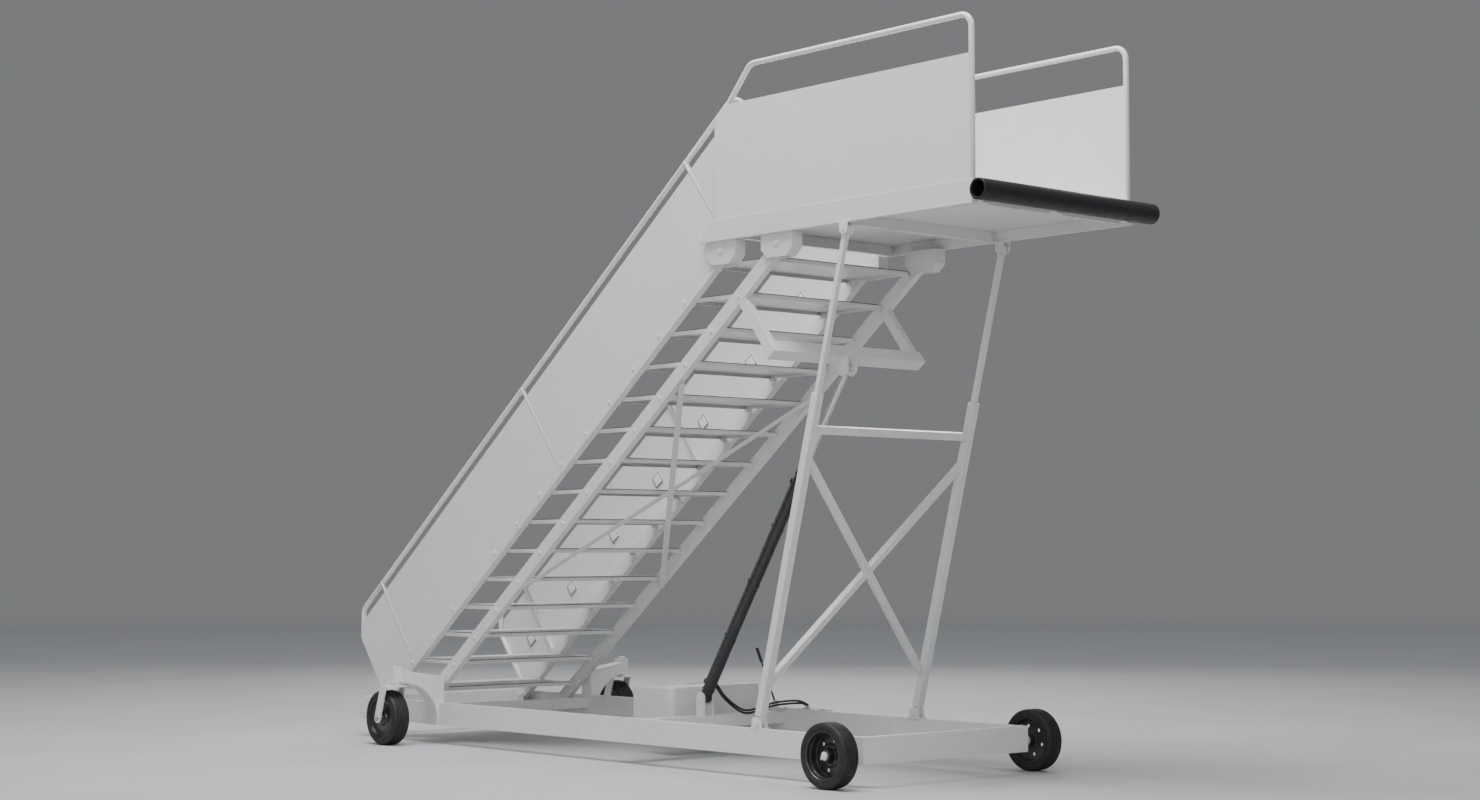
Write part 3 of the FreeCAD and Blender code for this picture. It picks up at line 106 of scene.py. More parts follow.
class Shader:
    """A Principled material whose nodes are added one at a time."""

    def __init__(self, name):
        self.material = bpy.data.materials.new(name)
        self.material.use_nodes = True
        self.tree = self.material.node_tree
        self.surface = self.tree.nodes["Principled BSDF"]
        self.place = self.tree.nodes.new("ShaderNodeTexCoord").outputs["Object"]

    def plug(self, socket, value):
        if isinstance(value, bpy.types.NodeSocket):
            self.tree.links.new(value, socket)
        else:
            socket.default_value = value

    def node(self, kind, inputs=(), **settings):
        made = self.tree.nodes.new(kind)
        for key, value in settings.items():
            setattr(made, key, value)
        for key, value in dict(inputs).items():
            self.plug(made.inputs[key], value)
        return made

    def stretch(self, scale):
        return self.node("ShaderNodeMapping", {"Vector": self.place, "Scale": scale}).outputs[0]

    def noise(self, scale, detail=4.0, roughness=0.55, stretch=None):
        place = self.stretch(stretch) if stretch else self.place
        return self.node("ShaderNodeTexNoise", {"Vector": place, "Scale": scale, "Detail": detail,
                                                "Roughness": roughness}).outputs[0]

    def ramp(self, value, low, high, start=0.0, end=1.0):
        return self.node("ShaderNodeMapRange", {"Value": value, "From Min": low, "From Max": high,
                                                "To Min": start, "To Max": end},
                         interpolation_type="SMOOTHSTEP").outputs[0]

    def math(self, operation, a, b=0.0):
        return self.node("ShaderNodeMath", {0: a, 1: b}, operation=operation).outputs[0]

    def mix(self, share, a, b):
        made = self.node("ShaderNodeMix", {0: share}, data_type="RGBA")
        for socket, value in ((made.inputs[6], a), (made.inputs[7], b)):
            self.plug(socket, (*value, 1.0) if isinstance(value, tuple) else value)
        return made.outputs[2]

    def edges(self, radius):
        """A mask that is 1 along convex and concave edges."""
        bevel = self.node("ShaderNodeBevel", {"Radius": radius}, samples=3).outputs[0]
        true_normal = self.node("ShaderNodeNewGeometry").outputs["True Normal"]
        dot = self.node("ShaderNodeVectorMath", {0: bevel, 1: true_normal},
                        operation="DOT_PRODUCT").outputs["Value"]
        return self.ramp(dot, 0.985, 0.80)

    def height(self):
        return self.node("ShaderNodeSeparateXYZ", {0: self.place}).outputs[2]

    def facing_up(self):
        normal = self.node("ShaderNodeNewGeometry").outputs["Normal"]
        return self.node("ShaderNodeSeparateXYZ", {0: normal}).outputs[2]

    def bump(self, layers):
        """Chain height maps, each (height, distance in metres), into the surface normal."""
        normal = None
        for height, distance in layers:
            inputs = {"Height": height, "Strength": 1.0, "Distance": distance}
            if normal is not None:
                inputs["Normal"] = normal
            normal = self.node("ShaderNodeBump", inputs).outputs[0]
        self.plug(self.surface.inputs["Normal"], normal)

    def finish(self, colour, roughness, metallic=0.0, coat=0.0):
        self.plug(self.surface.inputs["Base Color"], colour)
        self.plug(self.surface.inputs["Roughness"], roughness)
        self.plug(self.surface.inputs["Metallic"], metallic)
        self.surface.inputs["Coat Weight"].default_value = coat
        self.surface.inputs["Coat Roughness"].default_value = 0.18
        return self.material


def paint(name, colour, grime=(0.33, 0.30, 0.26), wear=0.6, dirt=0.5, gloss=0.34, coat=0.25, ripple=0.0006):
    """Sprayed enamel: uneven tone, rain streaks, dust on ledges, low splashes and chipped edges."""
    s = Shader(name)
    patches = s.ramp(s.noise(1.3, 5), 0.3, 0.75)
    shade = tuple(channel * 0.965 for channel in colour)
    tone = s.mix(patches, colour, shade)
    streaks = s.ramp(s.noise(11.0, 5, stretch=(1.0, 1.0, 0.05)), 0.56, 0.80, 0.0, 0.20 * dirt)
    tone = s.mix(streaks, tone, grime)
    dust = s.math("MULTIPLY", s.ramp(s.facing_up(), 0.5, 0.95),
                  s.ramp(s.noise(6.0, 6), 0.35, 0.75, 0.0, 0.30 * dirt))
    tone = s.mix(dust, tone, grime)
    splash = s.math("MULTIPLY", s.ramp(s.height(), 0.62, 0.08),
                    s.ramp(s.noise(19.0, 8, 0.7), 0.42, 0.70, 0.0, 0.55 * dirt))
    tone = s.mix(splash, tone, grime)
    edge = s.edges(0.004)
    chips = s.math("MULTIPLY", edge, s.ramp(s.noise(38.0, 6, 0.7), 0.55, 0.62, 0.0, wear))
    tone = s.mix(chips, tone, (0.23, 0.22, 0.21))
    rough = s.ramp(s.noise(4.0, 6), 0.3, 0.75, gloss - 0.05, gloss + 0.13)
    rough = s.math("ADD", rough, s.math("MULTIPLY", splash, 0.5))
    peel = s.noise(420.0, 2)
    s.bump([(s.noise(2.2, 2), ripple), (peel, 0.00005), (chips, -0.0003)])
    return s.finish(tone, rough, s.math("MULTIPLY", chips, 0.5), coat)


def rubber(name, colour=(0.022, 0.022, 0.023), worn=(0.075, 0.072, 0.068), grain=260.0, rough=0.62):
    """Moulded rubber: matt, scuffed along its edges, dusty in patches."""
    s = Shader(name)
    scuff = s.math("MULTIPLY", s.edges(0.003), s.ramp(s.noise(60.0, 6, 0.7), 0.4, 0.7))
    dust = s.ramp(s.noise(14.0, 8, 0.65), 0.45, 0.8, 0.0, 0.55)
    tone = s.mix(dust, colour, worn)
    tone = s.mix(scuff, tone, tuple(channel * 1.7 for channel in worn))
    roughness = s.ramp(s.noise(30.0, 5), 0.3, 0.7, rough - 0.10, rough + 0.14)
    s.bump([(s.noise(grain, 3), 0.00025), (s.noise(26.0, 4), 0.0004)])
    return s.finish(tone, roughness)


def steel(name, colour=(0.56, 0.56, 0.55), rough=0.34, stain=0.5, metallic=1.0):
    """Plated or bright steel: fine drawn grain, water stains and a little grease."""
    s = Shader(name)
    grain = s.noise(90.0, 4, stretch=(1.0, 18.0, 1.0))
    patches = s.ramp(s.noise(24.0, 7, 0.65), 0.42, 0.72, 0.0, stain)
    tone = s.mix(patches, colour, tuple(channel * 0.45 for channel in colour))
    roughness = s.math("ADD", s.ramp(grain, 0.3, 0.7, rough - 0.08, rough + 0.08),
                       s.math("MULTIPLY", patches, 0.3))
    s.bump([(grain, 0.00006), (s.noise(240.0, 3), 0.00004)])
    return s.finish(tone, roughness, metallic)


def chrome(name):
    """Hard chrome with an oil film and fine lengthwise scratches."""
    s = Shader(name)
    film = s.ramp(s.noise(7.0, 5, stretch=(1.0, 1.0, 0.25)), 0.4, 0.75)
    tone = s.mix(film, (0.80, 0.80, 0.81), (0.60, 0.58, 0.54))
    roughness = s.ramp(s.noise(150.0, 3, stretch=(1.0, 1.0, 0.04)), 0.35, 0.7, 0.07, 0.20)
    s.bump([(s.noise(300.0, 2, stretch=(1.0, 1.0, 0.03)), 0.00002)])
    return s.finish(tone, roughness, 1.0)


def diffuser(name):
    """Moulded white lamp lens with a fine prismatic texture."""
    s = Shader(name)
    cells = s.node("ShaderNodeTexVoronoi", {"Vector": s.place, "Scale": 190.0}).outputs["Distance"]
    grime = s.ramp(s.noise(45.0, 5), 0.5, 0.8, 0.0, 0.25)
    tone = s.mix(grime, (0.86, 0.87, 0.86), (0.55, 0.52, 0.46))
    s.bump([(cells, 0.0006)])
    s.surface.inputs["Subsurface Weight"].default_value = 0.12
    s.surface.inputs["Subsurface Radius"].default_value = (0.006, 0.006, 0.006)
    return s.finish(tone, s.ramp(grime, 0.0, 0.25, 0.22, 0.5))


BACKDROP = (0.195, 0.200, 0.208)


def floor_finish(name):
    """Plain pale ground with a barely visible mottle, fading into the backdrop's tone far away."""
    s = Shader(name)
    tone = s.mix(s.ramp(s.noise(0.7, 6), 0.3, 0.7), (0.50, 0.51, 0.52), (0.46, 0.47, 0.48))
    away = s.node("ShaderNodeVectorMath", {0: s.place}, operation="LENGTH").outputs["Value"]
    fade = s.ramp(away, 8.0, 46.0)
    s.plug(s.surface.inputs["Specular IOR Level"], s.ramp(fade, 0.0, 0.6, 0.5, 0.0))
    s.plug(s.surface.inputs["Emission Color"], (*BACKDROP, 1.0))
    s.plug(s.surface.inputs["Emission Strength"], fade)
    s.bump([(s.noise(60.0, 5), 0.0006)])
    return s.finish(s.mix(fade, tone, (0.0, 0.0, 0.0)), 0.72)


WHITE = (0.80, 0.80, 0.785)
FRAME_PAINT = paint("frame_paint", WHITE, wear=0.40, dirt=0.14, gloss=0.28, coat=0.35)
SHEET_PAINT = paint("sheet_paint", (0.83, 0.83, 0.82), wear=0.3, dirt=0.14, gloss=0.30, ripple=0.0018)
RAIL_PAINT = paint("rail_paint", (0.83, 0.83, 0.82), wear=0.2, dirt=0.12, gloss=0.26, coat=0.4)
TRAY_PAINT = paint("tray_paint", (0.79, 0.79, 0.775), wear=0.5, dirt=0.3)
DECK_PAINT = paint("deck_paint", (0.74, 0.74, 0.725), wear=0.8, dirt=0.4, gloss=0.42)
BLACK_PAINT = paint("black_paint", (0.012, 0.012, 0.013), grime=(0.10, 0.09, 0.08), wear=0.4, dirt=0.35,
                    gloss=0.24, coat=0.5)
RIM_PAINT = paint("rim_paint", (0.018, 0.018, 0.019), grime=(0.13, 0.12, 0.10), wear=0.3, dirt=0.22,
                  gloss=0.32, coat=0.25)
RIB_PAINT = paint("rib_paint", (0.70, 0.70, 0.685), wear=0.5, dirt=0.3, gloss=0.40)
MAT_RUBBER = rubber("mat_rubber", worn=(0.060, 0.058, 0.054))
TYRE_RUBBER = rubber("tyre_rubber", colour=(0.016, 0.016, 0.017), worn=(0.046, 0.044, 0.041), grain=180.0)
BUMPER_RUBBER = rubber("bumper_rubber", colour=(0.009, 0.009, 0.010), worn=(0.018, 0.018, 0.017), rough=0.42)
HOSE_RUBBER = rubber("hose_rubber", grain=520.0, rough=0.5)
ZINC = steel("zinc_steel")
CHROME = chrome("rod_chrome")
LENS = diffuser("lamp_lens")
BEZEL = rubber("lamp_gasket", colour=(0.03, 0.03, 0.032), worn=(0.09, 0.09, 0.09), grain=400.0)
GRIP = rubber("grip_plastic", colour=(0.02, 0.02, 0.02), grain=600.0, rough=0.45)
WELD_PAINT = paint("weld_paint", (0.79, 0.79, 0.775), wear=0.2, dirt=0.3)


# ---------------------------------------------------------------- mesh building

def rounded(corners, steps=5):
    """Outline points with each (across, up, bend) corner turned into an arc."""
    points = []
    count = len(corners)
    for i, corner in enumerate(corners):
        here = Vector(corner[:2])
        if len(corner) < 3 or corner[2] <= 0:
            points.append(here)
            continue
        back = (Vector(corners[i - 1][:2]) - here).normalized()
        ahead = (Vector(corners[(i + 1) % count][:2]) - here).normalized()
        half = back.angle(ahead) / 2
        reach = corner[2] / math.tan(half)
        middle = here + (back + ahead).normalized() * (corner[2] / math.sin(half))
        start, end = here + back * reach - middle, here + ahead * reach - middle
        sweep = start.angle_signed(end)
        for k in range(steps + 1):
            points.append(middle + Matrix.Rotation(-sweep * k / steps, 2) @ start)
    return [(point.x, point.y) for point in points]


def skin(rings, closed=True):
    """Quads between equal rings of points: a closed loop of rings, or a run with its two ends capped."""
    bm = bmesh.new()
    loops = [[bm.verts.new(point) for point in ring] for ring in rings]
    count = len(loops[0])
    for one, two in zip(loops, loops[1:] + loops[:1] if closed else loops[1:]):
        for k in range(count):
            corners = (one[k], one[(k + 1) % count], two[(k + 1) % count], two[k])
            bm.faces.new(corners)
    if not closed:
        bm.faces.new(loops[0])
        bm.faces.new(loops[-1])
    bmesh.ops.remove_doubles(bm, verts=bm.verts[:], dist=1e-6)
    bmesh.ops.recalc_face_normals(bm, faces=bm.faces[:])
    return bm


def polar(radius, share, z=0.0):
    """A point on a circle about Z, a share of the way round."""
    turn = math.tau * share
    return (radius * math.cos(turn), radius * math.sin(turn), z)


def lathe(profile, segments=64):
    """A (radius, height) outline turned about Z."""
    return skin([[polar(r, i / segments, z) for r, z in profile] for i in range(segments)])


def prism(outline, low, high, bevel=0.0):
    """An (x, z) outline from y = low to y = high, its sharp edges eased."""
    bm = skin([[(x, low, z) for x, z in outline], [(x, high, z) for x, z in outline]], closed=False)
    if bevel:
        ease(bm, bevel)
    return bm


def ease(bm, width):
    """Round every edge sharper than 30 degrees."""
    sharp = [edge for edge in bm.edges if len(edge.link_faces) == 2
             and edge.calc_face_angle(0.0) > math.radians(30)]
    bmesh.ops.bevel(bm, geom=sharp, offset=width, segments=2, profile=0.5, affect="EDGES",
                    clamp_overlap=True)


def block(low, high, bevel=0.002):
    """A box between two corners with eased edges."""
    outline = [(low[0], low[2]), (high[0], low[2]), (high[0], high[2]), (low[0], high[2])]
    return prism(outline, low[1], high[1], bevel)


def along_path(points, radius, segments=16, closed=False, swell=None):
    """A round bar along points; swell(i) scales its radius."""
    points = [Vector(point) for point in points]
    count = len(points)
    rings = []
    normal = None
    for i, point in enumerate(points):
        ahead = points[(i + 1) % count] if closed or i < count - 1 else point
        back = points[i - 1] if closed or i > 0 else point
        tangent = (ahead - back).normalized()
        if normal is None:
            normal = tangent.orthogonal().normalized()
        normal = (normal - tangent * normal.dot(tangent)).normalized()
        side = tangent.cross(normal)
        size = radius * (swell(i) if swell else 1.0)
        rings.append([point + (normal * math.cos(math.tau * k / segments)
                               + side * math.sin(math.tau * k / segments)) * size for k in range(segments)])
    return skin(rings, closed=closed)


def smooth_path(points, steps=12):
    """Catmull-Rom points through the given ones."""
    points = [Vector(point) for point in points]
    ends = [points[0] * 2 - points[1]] + points + [points[-1] * 2 - points[-2]]
    path = []
    for a, b, c, d in zip(ends, ends[1:], ends[2:], ends[3:]):
        for k in range(steps):
            t = k / steps
            path.append(0.5 * ((2 * b) + (c - a) * t + (2 * a - 5 * b + 4 * c - d) * t * t
                               + (3 * b - a - 3 * c + d) * t ** 3))
    return path + [points[-1]]


def moved(bm, matrix):
    """A part after a move."""
    bm.transform(matrix)
    return bm


def tinted(bm, index):
    """Give every face of a part one material index."""
    for face in bm.faces:
        face.material_index = index
    return bm


def merged(parts):
    """One bmesh from several."""
    whole = bmesh.new()
    for part in parts:
        mesh = bpy.data.meshes.new("part")
        part.to_mesh(mesh)
        part.free()
        whole.from_mesh(mesh)
        bpy.data.meshes.remove(mesh)
    return whole


def piece(name, bm, materials, body, replaces=(), angle=32.0):
    """Turn a bmesh into a named piece that rides on a body."""
    mesh = bpy.data.meshes.new(name)
    bm.to_mesh(mesh)
    bm.free()
    for material in materials if isinstance(materials, (list, tuple)) else [materials]:
        mesh.materials.append(material)
    mesh.shade_smooth()
    mesh.set_sharp_from_angle(angle=math.radians(angle))
    item = bpy.data.objects.new(name, mesh)
    bpy.context.scene.collection.objects.link(item)
    if body:
        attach(item, body)
    if replaces:
        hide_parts(*replaces)
    return item


def hex_head(radius, height, washer=0.0):
    """A chamfered hexagon head above Z = 0, on a washer if one is asked for."""
    corner = radius * 0.97
    rings = []
    for size, z in ((corner, 0.0), (corner, height * 0.78), (corner * 0.86, height)):
        rings.append([polar(size, k / 6, z + washer) for k in range(6)])
    parts = [skin(rings, closed=False)]
    if washer:
        parts.append(lathe([(radius * 0.3, 0), (radius * 1.2, 0), (radius * 1.25, washer * 0.4),
                            (radius * 1.2, washer), (radius * 0.3, washer)], 28))
    return merged(parts)


def across(y, hand, x=0.0, z=0.0):
    """Lay a part drawn along +Z onto the Y axis, pointing away from the middle on the given side."""
    return at(x, hand * y, z) @ Matrix.Rotation(math.radians(-90 * hand), 4, "X")


def weld(points, radius=0.0032, closed=False):
    """A rippled bead along straight runs between points."""
    points = [Vector(point) for point in points]
    runs = list(zip(points, points[1:] + points[:1] if closed else points[1:]))
    path = []
    for a, b in runs:
        steps = max(2, round((b - a).length / 0.0045))
        path += [a.lerp(b, k / steps) for k in range(steps)]
    if not closed:
        path.append(points[-1])
    return along_path(path, radius, 7, closed,
                      lambda i: 1.0 + 0.20 * math.sin(i * 2.3) + 0.08 * math.sin(i * 0.71))


def ring_weld(radius, bead=0.0028, turns=72):
    """A rippled bead round the Z axis."""
    path = [polar(radius, k / turns) for k in range(turns)]
    return along_path(path, bead, 7, True, lambda i: 1.0 + 0.20 * math.sin(i * 2.2))


# ---------------------------------------------------------------- carried-over CAD nodes

def smooth_shading():
    """Nodes that drop stored normals and shade every face smooth; the CAD mesh itself stays as it is."""
    group = bpy.data.node_groups.new("smooth_shading", "GeometryNodeTree")
    for way in ("INPUT", "OUTPUT"):
        group.interface.new_socket("Geometry", in_out=way, socket_type="NodeSocketGeometry")
    last = group.nodes.new("NodeGroupInput").outputs[0]
    for kind in ("GeometryNodeRemoveAttribute", "GeometryNodeSetShadeSmooth"):
        step = group.nodes.new(kind)
        group.links.new(last, step.inputs["Geometry"])
        last = step.outputs[0]
        if "Name" in step.inputs:
            step.inputs["Name"].default_value = "custom_normal"
    group.links.new(last, group.nodes.new("NodeGroupOutput").inputs[0])
    return group


SMOOTH = smooth_shading()


def dress(names, material, bevel=0.0012, dissolve=True):
    """Give CAD nodes a material and, by modifiers alone, eased and cleanly shaded edges."""
    for name in names:
        node = NODES[name]
        for slot in node.material_slots:
            slot.material = material
        node.modifiers.new("smooth", "NODES").node_group = SMOOTH
        weld_step = node.modifiers.new("weld", "WELD")
        weld_step.merge_threshold = 0.00002
        if dissolve:
            flat = node.modifiers.new("flat", "DECIMATE")
            flat.decimate_type = "DISSOLVE"
            flat.angle_limit = math.radians(0.4)
        if bevel:
            edge = node.modifiers.new("edge", "BEVEL")
            edge.width = bevel
            edge.segments = 2
            edge.limit_method = "ANGLE"
            edge.angle_limit = math.radians(35)
            edge.miter_outer = "MITER_ARC"
            edge.harden_normals = False
        shade = node.modifiers.new("shade", "WEIGHTED_NORMAL")
        shade.keep_sharp = True
        shade.weight = 60


dress(["chassis_rails", "chassis_cross_members"], FRAME_PAINT, 0.0035)
dress(["caster_outriggers", "stringer_foot_brackets", "leg_foot_brackets",
       "lower_stringers", "stringer_braces", "upper_stringers", "linkage_brackets", "leg_top_brackets",
       "leg_inner_tubes"], FRAME_PAINT)
dress(["cylinder_crossbeam", "platform_frame", "leg_outer_frame"], FRAME_PAINT, dissolve=False)
dress(["stair_side_panels", "guard_panels"], SHEET_PAINT, 0.0007)
dress(["stair_handrails", "guard_rails"], RAIL_PAINT, 0.0)
dress(["base_pivot_pins"], RAIL_PAINT, 0.0025)
dress(["cylinder_barrel", "cylinder_gland", "cylinder_pipe"], BLACK_PAINT, 0.001)
dress(["cylinder_rod"], CHROME, 0.001)
dress(["hydraulic_tank", "hand_pump"], FRAME_PAINT, 0.0015)
dress(["caster_fork_right", "caster_fork_left"], FRAME_PAINT, 0.0015)


# ---------------------------------------------------------------- treads and their bolts

TRAY_SHEET, TRAY_CHEEK, TRAY_DEPTH, LUG_HALF = 0.003, 0.006, 0.028, 0.030
MAT_BASE, MAT_RIB, RIB_PITCH = 0.0035, 0.0015, 0.0152


def tread_parts(name):
    """A folded tray with end cheeks, a lug at each pin, and a rubber mat with pale ribs."""
    low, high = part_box(name)
    pin = pivot(f"{name}_pivot").x
    top = high.z - MAT_BASE - MAT_RIB
    left, right, base, foot = low.x, high.x, top - TRAY_DEPTH, low.z
    t, lip = TRAY_SHEET, 0.014
    outline = rounded([
        (left, base, 0.004), (left, top, 0.005), (right, top, 0.005), (right, base, 0.004),
        (right - lip, base), (right - lip, base + t), (right - t, base + t, 0.001),
        (right - t, top - t, 0.002),
        (left + t, top - t, 0.002), (left + t, base + t, 0.001), (left + lip, base + t), (left + lip, base)])
    reach = high.y - TRAY_CHEEK
    tray = [prism(outline, -reach, reach)]
    cheek = rounded([(left, foot, 0.012), (left, top, 0.005), (right, top, 0.005), (right, foot, 0.012),
                     (pin - LUG_HALF, foot, 0.012), (pin - LUG_HALF, base, 0.008),
                     (pin - GAP + LUG_HALF, base, 0.008), (pin - GAP + LUG_HALF, foot, 0.012)])
    for hand in (-1, 1):
        inner, outer = sorted((hand * reach, hand * high.y))
        tray.append(prism(cheek, inner, outer, 0.0012))
    ribs = [(left + 0.001, top, 0.001), (left + 0.001, high.z, 0.002), (left + 0.024, high.z, 0.0005)]
    count = int((right - left - 0.050) / RIB_PITCH)
    for k in range(count):
        start = left + 0.024 + k * RIB_PITCH
        ribs += [(start + 0.0006, top + MAT_BASE), (start + RIB_PITCH * 0.30, top + MAT_BASE),
                 (start + RIB_PITCH * 0.30 + 0.0006, high.z), (start + RIB_PITCH, high.z)]
    ribs += [(right - 0.001, high.z, 0.002), (right - 0.001, top, 0.001)]
    mat = prism(rounded(ribs, 3), -high.y + 0.004, high.y - 0.004)
    for face in mat.faces:
        face.material_index = 2 if face.calc_center_median().z > top + MAT_BASE + MAT_RIB * 0.4 else 1
    return tray, mat


def treads():
    """Fifteen trays with ribbed mats, in place of the plain CAD treads."""
    for name in TREADS:
        tray, mat = tread_parts(name)
        whole = merged([tinted(part, 0) for part in tray] + [mat])
        piece(f"{name}_step", whole, [TRAY_PAINT, MAT_RUBBER, RIB_PAINT], name, [name], 40)


def tread_bolts():
    """Hexagon bolts with washers, spacers and lock nuts at both ends of every tread's two pivots."""
    for flight, body, shift, skin_y in (("lower", "lower_flight", 0.0, STRINGER_OUT),
                                        ("upper", "upper_flight", GAP, 0.689)):
        parts = []
        for name in TREADS:
            spot = pivot(f"{name}_pivot")
            for hand in (-1, 1):
                turn = Matrix.Rotation(0.35 * spot.x * 7 + hand, 4, "Z")
                head = moved(hex_head(0.0125, 0.0075, 0.0022), turn)
                parts.append(moved(head, across(skin_y, hand, spot.x - shift, spot.z)))
                nut = moved(hex_head(0.0125, 0.0080, 0.0016), Matrix.Rotation(math.pi, 4, "X") @ turn)
                parts.append(moved(nut, across(0.6088, hand, spot.x - shift, spot.z)))
                sleeve = lathe([(0.0085, 0.6172), (0.0135, 0.6172), (0.0140, 0.6180), (0.0140, 0.6350),
                                (0.0135, 0.6358), (0.0085, 0.6358)], 24)
                parts.append(moved(sleeve, across(0.0, hand, spot.x - shift, spot.z)))
                shank = lathe([(0.0, 0.6000), (0.0068, 0.6000), (0.0079, 0.6012), (0.0079, skin_y),
                               (0.0, skin_y)], 20)
                parts.append(moved(shank, across(0.0, hand, spot.x - shift, spot.z)))
        piece(f"{flight}_bolt_set", merged(parts), RAIL_PAINT, body, [f"{flight}_tread_bolts"])


# ---------------------------------------------------------------- step lamps

LAMP_HALF, LAMP_FIRST, LAMP_HEIGHT, LAMP_BACK, LAMP_DEPTH, LAMP_COUNT = 0.0475, 0.343, 0.303, 0.686, 0.012, 7


def step_lamps():
    """White diffusers pillowed inside a thin dark gasket, on a white backing frame."""
    pitch = (LAST - FIRST).length / (len(TREADS) - 1)
    gaskets, lenses, frames = [], [], []
    for i in range(LAMP_COUNT):
        along = LAMP_FIRST + 2 * i * pitch
        for hand in (-1, 1):
            def square(half, bend):
                return rounded([(along - half, LAMP_HEIGHT - half, bend),
                                (along + half, LAMP_HEIGHT - half, bend),
                                (along + half, LAMP_HEIGHT + half, bend),
                                (along - half, LAMP_HEIGHT + half, bend)], 5)

            def stack(levels):
                rings = [[(x, hand * (LAMP_BACK - depth), z) for x, z in square(half, bend)]
                         for half, bend, depth in levels]
                return moved(skin(rings, closed=False), UPPER)
            h, d = LAMP_HALF, LAMP_DEPTH
            frames.append(stack([(h, 0.008, 0.0), (h, 0.008, d * 0.45), (h - 0.001, 0.007, d * 0.5)]))
            gaskets.append(stack([(h - 0.001, 0.007, d * 0.5), (h - 0.001, 0.007, d * 0.75),
                                  (h - 0.003, 0.006, d * 0.9),
                                  (h - 0.005, 0.005, d * 0.9), (h - 0.007, 0.004, d * 0.7)]))
            lenses.append(stack([(h - 0.007, 0.005, d * 0.6), (h - 0.0075, 0.005, d * 0.8),
                                 (h - 0.012, 0.006, d * 0.93),
                                 (h - 0.024, 0.006, d), (h - 0.040, 0.003, d * 1.02)]))
    piece("lamp_backs", merged(frames), SHEET_PAINT, "upper_flight")
    piece("lamp_gaskets", merged(gaskets), BEZEL, "upper_flight")
    piece("lamp_lenses", merged(lenses), LENS, "upper_flight", ["step_lamps"], 60)


# ---------------------------------------------------------------- wheels

def tyre(half, bead, radius):
    """A solid tyre: dished sidewalls with moulded rings and circular grooves round the tread."""
    wall = [(bead, -half + 0.008), (bead + 0.006, -half + 0.003), (bead + 0.010, -half + 0.0045),
            (bead + 0.016, -half + 0.0045), (bead + 0.018, -half + 0.002), (radius - 0.026, -half),
            (radius - 0.016, -half + 0.003), (radius - 0.007, -half + 0.008),
            (radius - 0.0025, -half + 0.015)]
    crown = []
    grooves = 5
    width = 2 * (half - 0.020)
    for k in range(grooves):
        centre = -width / 2 + width * (k + 0.5) / grooves
        rise = 0.0012 * (1 - (2 * centre / width) ** 2)
        top = radius - 0.0012 + rise
        crown += [(top, centre - 0.0042), (top - 0.0006, centre - 0.0032), (top - 0.0062, centre - 0.0024),
                  (top - 0.0068, centre), (top - 0.0062, centre + 0.0024), (top - 0.0006, centre + 0.0032),
                  (top, centre + 0.0042)]
    profile = wall + crown + [(r, -z) for r, z in reversed(wall)]
    return lathe(profile, 160)


def bolt_ring(count, ring, radius, height, z, washer=0.0015, start=0.0):
    """Hexagon heads in a circle about Z."""
    parts = []
    for k in range(count):
        turn = start + math.tau * k / count
        parts.append(moved(hex_head(radius, height, washer),
                           at(ring * math.cos(turn), ring * math.sin(turn), z)
                           @ Matrix.Rotation(turn * 1.7, 4, "Z")))
    return parts


def carved(bm, cutters):
    """A closed mesh less closed cutters."""
    items = []
    for name, part in (("base", bm), ("tool", merged(cutters))):
        mesh = bpy.data.meshes.new(name)
        part.to_mesh(mesh)
        part.free()
        item = bpy.data.objects.new(name, mesh)
        bpy.context.scene.collection.objects.link(item)
        items.append(item)
    base, tool = items
    step = base.modifiers.new("cut", "BOOLEAN")
    step.object = tool
    step.solver = "EXACT"
    bpy.context.view_layer.update()
    result = bmesh.new()
    result.from_mesh(base.evaluated_get(bpy.context.evaluated_depsgraph_get()).to_mesh())
    for item in items:
        mesh = item.data
        bpy.data.objects.remove(item)
        bpy.data.meshes.remove(mesh)
    return result


def wheel_matrix(centre, hand):
    """Stand a wheel drawn about Z on its axle, its outside facing away from the middle."""
    return Matrix.Translation(centre) @ Matrix.Rotation(math.radians(-90 * hand), 4, "X")


def wheel_place(node):
    """Centre, half width and radius of a tyre."""
    low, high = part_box(node)
    return (low + high) / 2, (high.y - low.y) / 2, (high.z - low.z) / 2


